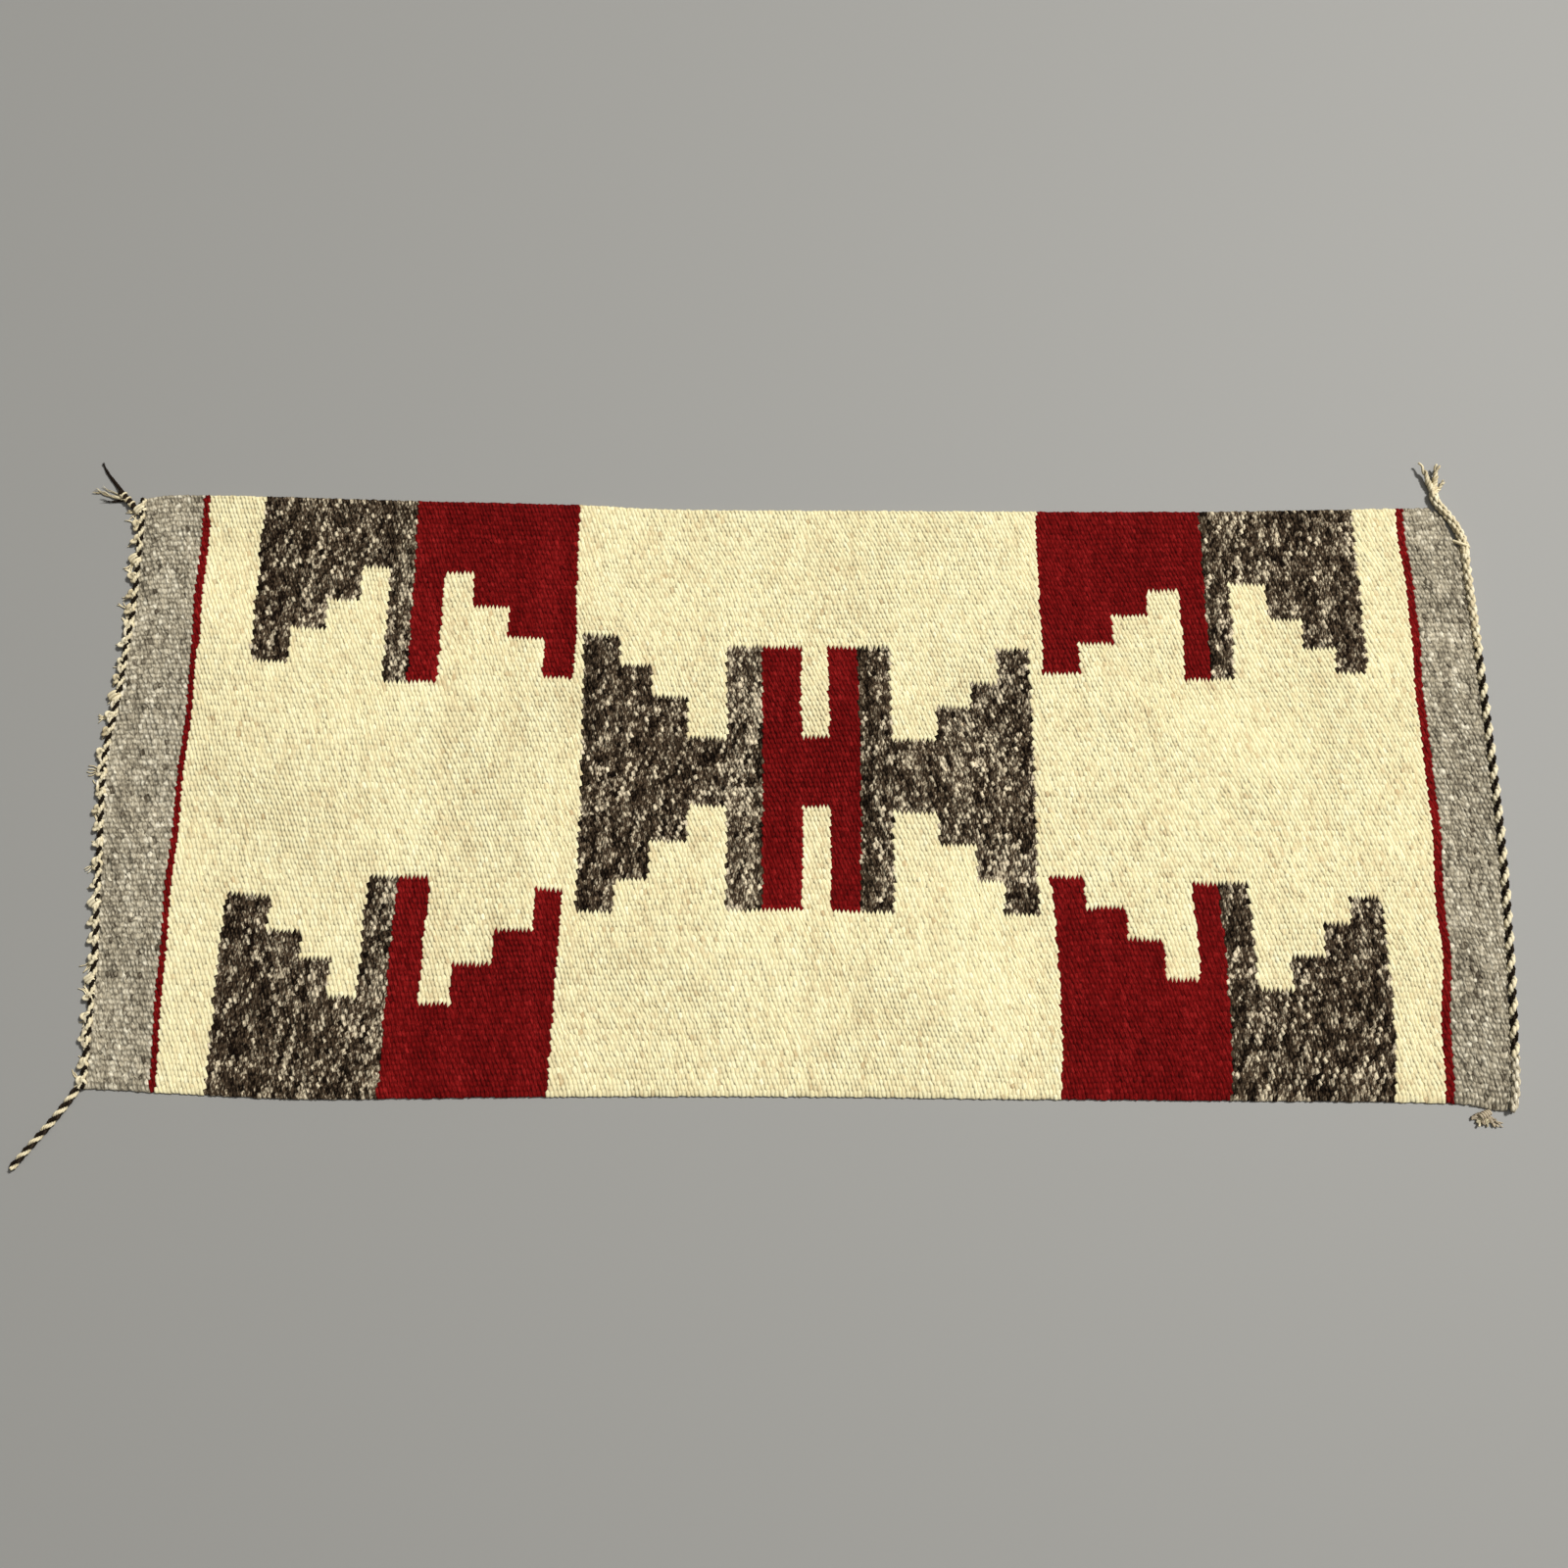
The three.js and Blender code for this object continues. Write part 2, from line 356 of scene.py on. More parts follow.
seam_row = np.arange(WARPS + 1)[:, None]
seam_column = np.arange(-1, 2 * steps + 2)[None, :]
is_tip = (seam_row + seam_column) % 2 == 1
seam_x = LEFT_END + seam_column * half_pitch + np.zeros(seam_row.shape)
seam_rise = np.where(is_tip, TIP, 1 - TIP)
seam_y = (seam_row - 0.5 + seam_rise) * WARP_STEP - WIDTH / 2
drift_x = DRIFT_X * slow_noise(seam_x.shape)
loose = np.where(np.abs(seam_x - LEFT_END - LENGTH / 2) > LOOSE_ZONE, LOOSE_JITTER, 1.0)
lean = np.where(is_tip, SEAM_LEAN, -SEAM_LEAN)
seam_x = seam_x + drift_x + loose * rng.normal(0, SEAM_JITTER_X, seam_x.shape) + lean
seam_y = seam_y + DRIFT_Y * slow_noise(seam_x.shape) + loose * rng.normal(0, SEAM_JITTER_Y, seam_x.shape)
seam_x = np.clip(seam_x, LEFT_END, LEFT_END + LENGTH)
for row, edge_y in ((0, -WIDTH / 2), (-1, WIDTH / 2)):
    seam_y[row] = edge_y + SELVEDGE_WOBBLE * WARP_STEP * (rng.random(seam_y.shape[1]) - 0.5)
print("seams:", WARPS + 1, "with", seam_x.shape[1], "corners each")

# %% [markdown]
# A bead sits at every second place of the lattice, like the dark squares of a chess board. Each one
# asks the chart for its yarn. Colour could be painted on one smooth sheet instead, but here a yarn
# changes only from one bead to the next, as on the loom. Places beyond the drawn-in back corner are
# left out first.

# %% Beads and their yarns
CORNER_MARGIN = 2.2
bead_warp, bead_column = np.meshgrid(np.arange(WARPS), np.arange(2 * steps + 1), indexing="ij")
keep = (bead_warp + bead_column) % 2 == 0
bead_warp, bead_column = bead_warp[keep], bead_column[keep]
bead_x = LEFT_END + bead_column * half_pitch + drift_x[bead_warp, bead_column + 1]
bead_y = (bead_warp + 0.5) * WARP_STEP - WIDTH / 2
cloth_x, cloth_y = on_cloth(bead_x, bead_y)
inside = cloth_x < corner_x(cloth_y) - CORNER_MARGIN * (cloth_y > CUT_CORNER[0][1])
bead_warp, bead_column = bead_warp[inside], bead_column[inside]
bead_x, bead_y = bead_x[inside], bead_y[inside]
bead_yarn = yarn_at(bead_x, bead_y, bead_column)
chart = np.full((WARPS + 2, 2 * steps + 3), -1)
chart[bead_warp + 1, bead_column + 1] = bead_yarn
print("beads:", len(bead_yarn), "in", WARPS, "rows")

# %% [markdown]
# Where two yarns meet along a warp, each weft turns round that warp and its last bead is drawn out to a
# point, so the edge is a row of teeth. Where they meet along a weft, the edge is a small zigzag, which
# the tightly packed red presses half flat. Both come from moving the seam corners: teeth across,
# flattening along.

# %% Teeth and straight edges
TOOTH = 0.30
FLATTEN_RED = 0.5

# A seam side joins two neighbour corners of a seam; it lies between one bead below it and one above it
side_row, side_column = np.meshgrid(np.arange(1, WARPS), np.arange(2 * steps), indexing="ij")
starts_at_tip = (side_row + side_column) % 2 == 1
yarn_below = chart[side_row, side_column + np.where(starts_at_tip, 0, 1) + 1]
yarn_above = chart[side_row + 1, side_column + np.where(starts_at_tip, 1, 0) + 1]
touching = np.stack([yarn_below, yarn_above])
changes = np.zeros((WARPS + 1, seam_x.shape[1] - 1), bool)
changes[1:WARPS, 1:-1] = (yarn_below != yarn_above) & (yarn_below >= 0) & (yarn_above >= 0)
fenced = np.pad(changes, ((0, 0), (1, 1)))
alone = changes & ~fenced[:, :-2] & ~fenced[:, 2:]
pull = np.zeros(changes.shape)
pull[1:WARPS, 1:-1] = FLATTEN_RED * half_pitch / 2 * (touching == RED).any(0)
seam_x[:, :-1] += pull * alone
seam_x[:, 1:] -= pull * alone
in_row = fenced[:, :-1] & fenced[:, 1:]
seam_y += TOOTH * WARP_STEP * np.where(is_tip, 1, -1) * in_row
seam_x -= lean * in_row
print("tooth corners:", int(in_row.sum()), "and flattened sides:", int((pull * alone > 0).sum()))

# %% [markdown]
# ## Turning arrays into meshes
#
# Nearly forty thousand beads are too many to add one by one. Their corners are worked out together in
# arrays, and one helper hands the arrays to a mesh. It also keeps a flat map of the piece, in which
# each face has its own place, so that the colours can be carried to other programs.

# %% Mesh helper
def make_piece(name, points, faces, materials, face_material, fleece, flat_map, crown=1.0):
    """A mesh from points in millimetres, arrays of faces, and a flat map by point or by face corner."""
    mesh = bpy.data.meshes.new(name)
    points = np.asarray(points, np.float32)
    loops = np.concatenate([f.ravel() for f in faces]).astype(np.int32)
    totals = np.concatenate([np.full(len(f), f.shape[1]) for f in faces]).astype(np.int32)
    starts = np.concatenate([[0], np.cumsum(totals)[:-1]]).astype(np.int32)
    mesh.vertices.add(len(points))
    mesh.vertices.foreach_set("co", (points * MM).ravel())
    mesh.loops.add(len(loops))
    mesh.loops.foreach_set("vertex_index", loops)
    mesh.polygons.add(len(totals))
    mesh.polygons.foreach_set("loop_start", starts)
    mesh.polygons.foreach_set("loop_total", totals)
    for material in materials:
        mesh.materials.append(material)
    material_index = np.broadcast_to(face_material, totals.shape).astype(np.int32)
    mesh.polygons.foreach_set("material_index", material_index)
    mesh.update(calc_edges=True)
    mesh.polygons.foreach_set("use_smooth", np.full(len(totals), True))
    layer = mesh.attributes.new("fleece", "FLOAT", "POINT")
    layer.data.foreach_set("value", np.asarray(fleece, np.float32))
    # Crown of each face corner: how much painted shade the wool materials put there; nought is the most,
    # one is none
    layer = mesh.attributes.new("crown", "FLOAT", "CORNER")
    layer.data.foreach_set("value", np.broadcast_to(crown, loops.shape).astype(np.float32))
    low, high = flat_map.min(0), flat_map.max(0)
    share = (flat_map - low) / (high - low).max()
    if len(flat_map) == len(points):
        share = share[loops]
    mesh.uv_layers.new(name="OFBake").data.foreach_set("uv", share.astype(np.float32).ravel())
    piece = bpy.data.objects.new(name, mesh)
    bpy.context.collection.objects.link(piece)
    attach(piece, "root")
    print(name, "triangles:", int((totals - 2).sum()))
    return piece


# %% [markdown]
# ## Wool
#
# Wool yarn is a bundle of fibres, so its colour changes in fine streaks along the yarn, and hand-carded
# yarn mixes dark and light fleece from bead to bead. Two groups serve every yarn: one gives the streaks
# and their height, the other blends three fleece colours and paints shade into the grooves. Each
# material then sets its own colours.

# %% Fibre streaks group
NUMBER, COLOUR = "NodeSocketFloat", "NodeSocketColor"
STREAK_ACROSS_MM = 0.45
STREAK_ALONG_MM = 4.5
STREAK_DETAIL = 1.0
PATCHES_PER_METRE = 45.0
PATCH_DETAIL = 4.0
ROUGHNESS_LEAST = 0.75
ROUGHNESS_SPREAD = 0.25


def group_tree(name, inputs, outputs):
    tree = bpy.data.node_groups.new(name, "ShaderNodeTree")
    for socket, kind, value in inputs:
        made = tree.interface.new_socket(socket, in_out="INPUT", socket_type=kind)
        if value is not None:
            made.default_value = value
    for socket, kind in outputs:
        tree.interface.new_socket(socket, in_out="OUTPUT", socket_type=kind)
    return tree, tree.nodes.new("NodeGroupInput"), tree.nodes.new("NodeGroupOutput")


def math_node(tree, operation, first, second=None, clamp=False):
    node = tree.nodes.new("ShaderNodeMath")
    node.operation = operation
    node.use_clamp = clamp
    for socket, value in zip(node.inputs, (first, second)):
        if isinstance(value, (int, float)):
            socket.default_value = value
        elif value is not None:
            tree.links.new(value, socket)
    return node.outputs[0]


def fibre_streaks():
    tree, given, result = group_tree(
        "Fibre streaks",
        [("Lean", NUMBER, 0.0), ("Across mm", NUMBER, STREAK_ACROSS_MM),
         ("Along mm", NUMBER, STREAK_ALONG_MM)],
        [("Streak", NUMBER), ("Patch", NUMBER), ("Roughness", NUMBER), ("Height", NUMBER)],
    )
    place = tree.nodes.new("ShaderNodeTexCoord").outputs["Object"]
    turn = tree.nodes.new("ShaderNodeVectorRotate")
    turn.rotation_type = "Z_AXIS"
    tree.links.new(place, turn.inputs["Vector"])
    tree.links.new(given.outputs["Lean"], turn.inputs["Angle"])
    size = tree.nodes.new("ShaderNodeCombineXYZ")
    across = math_node(tree, "DIVIDE", 1 / MM, given.outputs["Across mm"])
    along = math_node(tree, "DIVIDE", 1 / MM, given.outputs["Along mm"])
    for socket, value in zip(("X", "Y", "Z"), (across, along, across)):
        tree.links.new(value, size.inputs[socket])
    stretch = tree.nodes.new("ShaderNodeVectorMath")
    stretch.operation = "MULTIPLY"
    tree.links.new(turn.outputs["Vector"], stretch.inputs[0])
    tree.links.new(size.outputs["Vector"], stretch.inputs[1])
    streak = tree.nodes.new("ShaderNodeTexNoise")
    streak.inputs["Scale"].default_value = 1.0
    streak.inputs["Detail"].default_value = STREAK_DETAIL
    tree.links.new(stretch.outputs["Vector"], streak.inputs["Vector"])
    patch = tree.nodes.new("ShaderNodeTexNoise")
    patch.inputs["Scale"].default_value = PATCHES_PER_METRE
    patch.inputs["Detail"].default_value = PATCH_DETAIL
    tree.links.new(place, patch.inputs["Vector"])
    tree.links.new(streak.outputs["Fac"], result.inputs["Streak"])
    tree.links.new(patch.outputs["Fac"], result.inputs["Patch"])
    spread = math_node(tree, "MULTIPLY", streak.outputs["Fac"], ROUGHNESS_SPREAD)
    tree.links.new(math_node(tree, "ADD", spread, ROUGHNESS_LEAST), result.inputs["Roughness"])
    tree.links.new(streak.outputs["Fac"], result.inputs["Height"])
    return tree


FIBRE_STREAKS = fibre_streaks()
print("group:", FIBRE_STREAKS.name)

# %% [markdown]
# Heather is the spinner's word for a yarn of mixed colours. A bead's fleece value, moved a little by
# the streaks and patches, blends from dark through middle to light. A texture could do this alone, but
# a value on each bead keeps the mix from running across two wefts. The crown value then darkens the
# grooves, where light hardly reaches between the yarns.

# %% Heather and groove shade group
def heather_and_groove_shade():
    tree, given, result = group_tree(
        "Heather and groove shade",
        [("Fleece", NUMBER, 0.5), ("Streak", NUMBER, 0.5), ("Patch", NUMBER, 0.5),
         ("Streak share", NUMBER, 0.5), ("Patch share", NUMBER, 0.2), ("Crown", NUMBER, 1.0),
         ("Groove shade", NUMBER, 0.5), ("Groove sharpness", NUMBER, 1.5),
         ("Dark", COLOUR, None), ("Middle", COLOUR, None), ("Light", COLOUR, None)],
        [("Color", COLOUR)],
    )

    def centred(name, share):
        offset = math_node(tree, "SUBTRACT", given.outputs[name], 0.5)
        return math_node(tree, "MULTIPLY", offset, given.outputs[share])

    value = math_node(tree, "ADD", given.outputs["Fleece"], centred("Streak", "Streak share"))
    value = math_node(tree, "ADD", value, centred("Patch", "Patch share"))
    doubled = math_node(tree, "MULTIPLY", value, 2.0)

    def blend(share, first, second):
        mix = tree.nodes.new("ShaderNodeMix")
        mix.data_type = "RGBA"
        tree.links.new(share, mix.inputs["Factor"])
        tree.links.new(first, mix.inputs["A"])
        tree.links.new(second, mix.inputs["B"])
        return mix.outputs["Result"]

    to_middle = math_node(tree, "MINIMUM", doubled, 1.0, True)
    to_light = math_node(tree, "SUBTRACT", doubled, 1.0, True)
    lower = blend(to_middle, given.outputs["Dark"], given.outputs["Middle"])
    fleece_colour = blend(to_light, lower, given.outputs["Light"])
    # Painted shade: the colour is darkened where the crown value is low, in the grooves
    depth = math_node(tree, "SUBTRACT", 1.0, given.outputs["Crown"], True)
    depth = math_node(tree, "POWER", depth, given.outputs["Groove sharpness"])
    depth = math_node(tree, "MULTIPLY", depth, given.outputs["Groove shade"])
    shaded = tree.nodes.new("ShaderNodeVectorMath")
    shaded.operation = "SCALE"
    tree.links.new(fleece_colour, shaded.inputs[0])
    tree.links.new(math_node(tree, "SUBTRACT", 1.0, depth), shaded.inputs["Scale"])
    tree.links.new(shaded.outputs["Vector"], result.inputs["Color"])
    return tree


HEATHER_AND_GROOVE_SHADE = heather_and_groove_shade()
print("group:", HEATHER_AND_GROOVE_SHADE.name)

# %% [markdown]
# Cream, red, brown and the grey-beige of the plain ends are one recipe with different fleece. The cream
# varies least; the brown is carded from nearly black and nearly white wool, so single beads stand out.
# Cotton for the knots and the yarns of the tassels use the same recipe again.

# %% Yarn materials
# groove and sharp: how dark and how narrow the painted shade in the grooves is
YARNS = {
    "cream_wool": dict(dark=(0.54, 0.41, 0.22), middle=(0.76, 0.68, 0.405), light=(0.86, 0.80, 0.53),
                       streak=0.7, patch=0.4, lean=-18, bump=0.35, across=0.8, groove=0.95, sharp=2.0),
    "red_wool": dict(dark=(0.05, 0.0015, 0.0015), middle=(0.138, 0.003, 0.003), light=(0.32, 0.015, 0.014),
                     streak=1.3, patch=0.2, lean=-18, bump=0.35, across=0.6, groove=0.9, sharp=1.5),
    "brown_wool": dict(dark=(0.008, 0.004, 0.002), middle=(0.112, 0.075, 0.044), light=(0.98, 0.83, 0.57),
                       streak=1.6, patch=0.25, lean=10, bump=0.4, across=1.1, groove=1.0, sharp=0.75),
    "border_wool": dict(dark=(0.10, 0.079, 0.052), middle=(0.50, 0.435, 0.308), light=(0.88, 0.80, 0.61),
                        streak=1.25, patch=0.35, lean=-10, bump=0.4, across=1.2, groove=0.92, sharp=1.0),
    "knot_cotton": dict(dark=(0.38, 0.28, 0.14), middle=(0.72, 0.62, 0.40), light=(0.88, 0.81, 0.60),
                        streak=0.7, patch=0.3, lean=30, bump=0.3, across=0.5, groove=0.92, sharp=1.0),
    "dark_ply": dict(dark=(0.004, 0.002, 0.001), middle=(0.011, 0.007, 0.004), light=(0.05, 0.035, 0.024),
                     streak=0.6, patch=0.2, lean=30, bump=0.3, across=0.5, groove=0.5, sharp=1.5),
    "tan_ply": dict(dark=(0.16, 0.12, 0.08), middle=(0.38, 0.31, 0.21), light=(0.62, 0.54, 0.40),
                    streak=0.6, patch=0.3, lean=30, bump=0.3, across=0.5, groove=0.5, sharp=1.5),
}
BUMP_DEPTH_MM = 0.35
WOOL_SHINE = 0.04


def yarn_material(name, look):
    material, tree, shader = new_material(name)
    fibres = tree.nodes.new("ShaderNodeGroup")
    fibres.node_tree = FIBRE_STREAKS
    fibres.inputs["Lean"].default_value = math.radians(look["lean"])
    fibres.inputs["Across mm"].default_value = look["across"]
    blend = tree.nodes.new("ShaderNodeGroup")
    blend.node_tree = HEATHER_AND_GROOVE_SHADE
    blend.inputs["Groove shade"].default_value = look["groove"]
    blend.inputs["Groove sharpness"].default_value = look["sharp"]
    blend.inputs["Streak share"].default_value = look["streak"]
    blend.inputs["Patch share"].default_value = look["patch"]
    for socket, key in (("Dark", "dark"), ("Middle", "middle"), ("Light", "light")):
        blend.inputs[socket].default_value = (*look[key], 1)
    for socket, attribute in (("Fleece", "fleece"), ("Crown", "crown")):
        value = tree.nodes.new("ShaderNodeAttribute")
        value.attribute_name = attribute
        tree.links.new(value.outputs["Fac"], blend.inputs[socket])
    tree.links.new(fibres.outputs["Streak"], blend.inputs["Streak"])
    tree.links.new(fibres.outputs["Patch"], blend.inputs["Patch"])
    bump = tree.nodes.new("ShaderNodeBump")
    bump.inputs["Strength"].default_value = look["bump"]
    bump.inputs["Distance"].default_value = BUMP_DEPTH_MM * MM
    tree.links.new(fibres.outputs["Height"], bump.inputs["Height"])
    tree.links.new(blend.outputs["Color"], shader.inputs["Base Color"])
    tree.links.new(fibres.outputs["Roughness"], shader.inputs["Roughness"])
    tree.links.new(bump.outputs["Normal"], shader.inputs["Normal"])
    shader.inputs["Specular IOR Level"].default_value = WOOL_SHINE
    return material


MATERIALS = {name: yarn_material(name, look) for name, look in YARNS.items()}
print("materials:", sorted(MATERIALS))

# %% [markdown]
# ## Fleece along each weft
#
# One weft runs the whole height of its colour area, showing on every second warp. Its tone drifts
# slowly along it and is shared a little with the next wefts. On top of that each bead has a tone of
# its own. In the brown yarn, half of that tone passes on to the next bead of the slanting rib, because
# the yarn is carded in long streaks. How much painted shade each groove gets is drawn here too, so
# that no two grooves are equally dark.

# %% Fleece of each bead
BAND_REACH = 3
ALONG_REACH = 2
SPECKLE = 0.7
SLANT_SHARE = 0.5
GROOVE_DRIFT = 0.45

# One entry for each yarn number; the spreads are for drift along a weft, bands of wefts and single beads
FLEECE_MIDDLE = np.array([0.5, 0.5, 0.43, 0.5])
FLEECE_SPREAD = np.array([(0.05, 0.03, 0.09), (0.05, 0.03, 0.05), (0.08, 0.07, 0.22), (0.07, 0.03, 0.14)])

lattice_shape = (WARPS, 2 * steps + 1)
bands = smoothed(rng.normal(size=(1, lattice_shape[1])), BAND_REACH, 1)
speckle = rng.laplace(0, SPECKLE, lattice_shape)
slanted = np.roll(speckle, (1, 1), axis=(0, 1)) * SLANT_SHARE + speckle
rib_shape = (WARPS, lattice_shape[1] + WARPS + 2)
drift = smoothed(rng.normal(size=lattice_shape), ALONG_REACH, 0)
# Painted shade in the grooves: random for each groove, and drifting slowly over the cloth
groove_shade_noise = rng.normal(size=rib_shape) + GROOVE_DRIFT * slow_noise(rib_shape)


def bead_fleece(warp, column, yarn):
    spread = FLEECE_SPREAD[yarn]
    value = FLEECE_MIDDLE[yarn] + spread[:, 0] * drift[warp, column] + spread[:, 1] * bands[0, column]
    single = np.where(yarn == BROWN, slanted[warp, column], speckle[warp, column])
    return np.clip(value + spread[:, 2] * single, 0, 1)


print("fleece values:", speckle.size, "for single beads and", bands.size, "for bands of wefts")

# %% [markdown]
# ## Beads
#
# A bead could be a squashed sphere, but spheres leave gaps. Here each bead starts from its patch of the
# lattice. The yarn's twist makes the beads lie in slanting ribs: four sides of a patch are open grooves
# between two ribs, and the other two are only a dip where one bead of a rib meets the next. So a bead
# is a short stretch of rib, with low corners and a ridge of three points; smooth shading makes it
# round. Painted shade darkens the low corners, where the grooves run, and also the dips. Every
# second corner is less deep and gets less painted shade, which breaks the grooves into short strokes,
# as in real yarn.

# %% Bead shape
TOP_MM = 4.0
SEAM_DROP = 1.5
VALLEY_SHARE = 0.85
SEAM_JITTER_Z = 0.2
DIP_RANGE = (0.3, 1.0)
HEIGHT_JITTER = 0.12
# Crown at the groove corners, middle and spread: nought is the most painted shade, one none
GROOVE_MIDDLE = 0.27
GROOVE_SPREAD = 0.2
SELVEDGE_Z = 1.7

# One entry for each yarn number: depth of a dip, how little painted shade it gets, how far the painted
# shade strokes are broken
DIPS = np.array([0.85, 0.9, 1.1, 1.4])
DIP_CROWNS = np.array([0.75, 0.5, 0.6, 0.35])
STROKE_BREAK = np.array([0.33, 0.3, 0.05, 0.15])

# The long edges: how far out and how high the yarn's round goes, from its rim down
SELVEDGE_PROFILE = [(0.0, SELVEDGE_Z), (0.1, 0.9), (-0.6, 0.1)]
SELVEDGE_MAP_STEP = 2.0
RIM_COLUMNS = (-1, 0, 1)

corner_drop = SEAM_DROP * np.where(is_tip, 1, VALLEY_SHARE)
seam_z = TOP_MM - corner_drop + rng.uniform(-1, 1, seam_x.shape) * SEAM_JITTER_Z
seam_z[[0, -1]] = SELVEDGE_Z
side_z = np.full(changes.shape, SELVEDGE_Z)
side_z[1:WARPS, 1:-1] = TOP_MM - DIPS[touching].max(0) * rng.uniform(*DIP_RANGE, side_row.shape)
side_z = np.where(changes, (seam_z[:, :-1] + seam_z[:, 1:]) / 2, side_z)

# Corners of a bead's patch: which seam of its warp, and how many columns beside the bead
CORNERS = [(0, -1), (0, 0), (0, 1), (1, 1), (1, 0), (1, -1)]

# Points of a bead by number: corners 0 to 5, then the lower dip, the upper dip and the crest
LOW_DIP, HIGH_DIP, CREST = 6, 7, 8
VALLEYS = (1, 3, 5)
LEFT_FLANK = [(5, 0, CREST, HIGH_DIP), (0, 1, LOW_DIP, CREST)]
RIGHT_FLANK = [(2, 3, CREST, LOW_DIP), (3, 4, HIGH_DIP, CREST)]


def laid(points):
    """Chart points moved onto the uneven cloth, inside its drawn-in corner."""
    points[:, 0], points[:, 1] = on_cloth(points[:, 0], points[:, 1])
    points[:, 0] = np.minimum(points[:, 0], corner_x(points[:, 1]))
    return points


def bead_arrays(warp, column, fleece, yarn):
    """Points, faces, fleece, flat map and crown of many beads."""
    count = len(warp)
    points = np.empty((count, CREST + 1, 3))
    for k, (seam, beside) in enumerate(CORNERS):
        for axis, seam_values in enumerate((seam_x, seam_y, seam_z)):
            points[:, k, axis] = seam_values[warp + seam, column + beside + 1]
    points[:, LOW_DIP] = (points[:, 1] + points[:, 2]) / 2
    points[:, HIGH_DIP] = (points[:, 4] + points[:, 5]) / 2
    points[:, CREST] = (points[:, LOW_DIP] + points[:, HIGH_DIP]) / 2
    points[:, LOW_DIP, 2] = side_z[warp, column + 1]
    points[:, HIGH_DIP, 2] = side_z[warp + 1, column]
    points[:, CREST, 2] = TOP_MM - HEIGHT_JITTER * rng.uniform(0, 2, count)
    flat = points[:, :, :2].reshape(-1, 2).copy()
    base = np.arange(count)[:, None] * (CREST + 1)
    dip = np.full(count, DIP_CROWNS[yarn])
    quads, crown = [], []
    for flank, beside in ((LEFT_FLANK, 0), (RIGHT_FLANK, 2)):
        groove = GROOVE_MIDDLE + GROOVE_SPREAD * groove_shade_noise[warp, column + warp + beside]
        groove = np.clip(groove, 0, 1)
        for face in flank:
            quads.append(base + np.array(face))
            shade = {CREST: np.ones(count), LOW_DIP: dip, HIGH_DIP: dip}
            shade.update({corner: groove + STROKE_BREAK[yarn] * (1 - groove) for corner in VALLEYS})
            crown.append(np.column_stack([shade.get(corner, groove) for corner in face]))
    fleece = np.repeat(fleece, CREST + 1)
    return laid(points.reshape(-1, 3)), np.concatenate(quads), fleece, flat, np.concatenate(crown)


def selvedge_arrays(warp, column, fleece, row, seam):
    """The rounded outside of the beads on a long edge, from their rim down to the floor."""
    at_edge = warp == row
    warp, column, fleece = warp[at_edge], column[at_edge], fleece[at_edge]
    outward = 1 if seam else -1
    levels, across = len(SELVEDGE_PROFILE), len(RIM_COLUMNS)
    points = np.empty((len(warp), levels, across, 3))
    flat = np.empty((len(warp), levels, across, 2))
    for k, (out, height) in enumerate(SELVEDGE_PROFILE):
        for j, beside in enumerate(RIM_COLUMNS):
            rim_x = seam_x[warp + seam, column + beside + 1]
            rim_y = seam_y[warp + seam, column + beside + 1]
            points[:, k, j] = np.column_stack([rim_x, rim_y + outward * out, np.full(len(warp), height)])
            flat[:, k, j] = np.column_stack([rim_x, rim_y + outward * k * SELVEDGE_MAP_STEP])
    base = np.arange(len(warp))[:, None] * levels * across
    quads = []
    for k in range(levels - 1):
        for j in range(across - 1):
            upper, lower = k * across + j, (k + 1) * across + j
            corner = np.array([upper, upper + 1, lower + 1, lower])
            quads.append(base + (corner if seam else corner[::-1]))
    quads = np.concatenate(quads)
    fleece = np.repeat(fleece, levels * across)
    return laid(points.reshape(-1, 3)), quads, fleece, flat.reshape(-1, 2), np.ones(quads.shape)


def join_beads(name, groups, material):
    """One piece from several bead arrays."""
    first = np.cumsum([0] + [len(group[0]) for group in groups])
    quads = np.concatenate([group[1] + offset for group, offset in zip(groups, first)])
    points, fleece, flat, crown = (np.concatenate([group[k] for group in groups]) for k in (0, 2, 3, 4))
    return make_piece(name, points, [quads], [material], 0, fleece, flat, crown.ravel())


# %% [markdown]
# All the beads of one yarn become one piece. Cream covers most of the rug, so it is cut in three where
# the red and brown blocks stand, and each plain end is a piece of its own. One mesh of everything would
# be simpler, but a piece of one yarn is easier to recolour and to hide.

# %% Weave the pieces
CREAM_CUTS = (-167.0, 175.0)
part = np.digitize(bead_x, CREAM_CUTS)


def weave(name, yarn, region):
    """One piece of all the beads of a yarn in a region."""
    chosen = region & (bead_yarn == yarn)
    warp, column = bead_warp[chosen], bead_column[chosen]
    fleece = bead_fleece(warp, column, bead_yarn[chosen])
    groups = [
        bead_arrays(warp, column, fleece, yarn),
        selvedge_arrays(warp, column, fleece, 0, 0),
        selvedge_arrays(warp, column, fleece, WARPS - 1, 1),
    ]
    piece = join_beads(name, groups, MATERIALS[YARN_NAMES[yarn]])
    return piece


everywhere = np.full(bead_yarn.shape, True)
weft_pieces = [
    weave("ivory_weft_left", CREAM, part == 0),
    weave("ivory_weft_middle", CREAM, part == 1),
    weave("ivory_weft_right", CREAM, part == 2),
    weave("red_weft", RED, everywhere),
    weave("brown_weft", BROWN, everywhere),
    weave("border_weft_left", BORDER, part == 0),
    weave("border_weft_right", BORDER, part == 2),
]

# %% [markdown]
# ## The body of the cloth
#
# Under the beads lies the back of the cloth: a shallow tray with the same lattice on its underside,
# because a tapestry rug shows the same pattern on both faces. The tray has no lid, as the beads cover
# it. It is one sheet, and everything else goes with it.

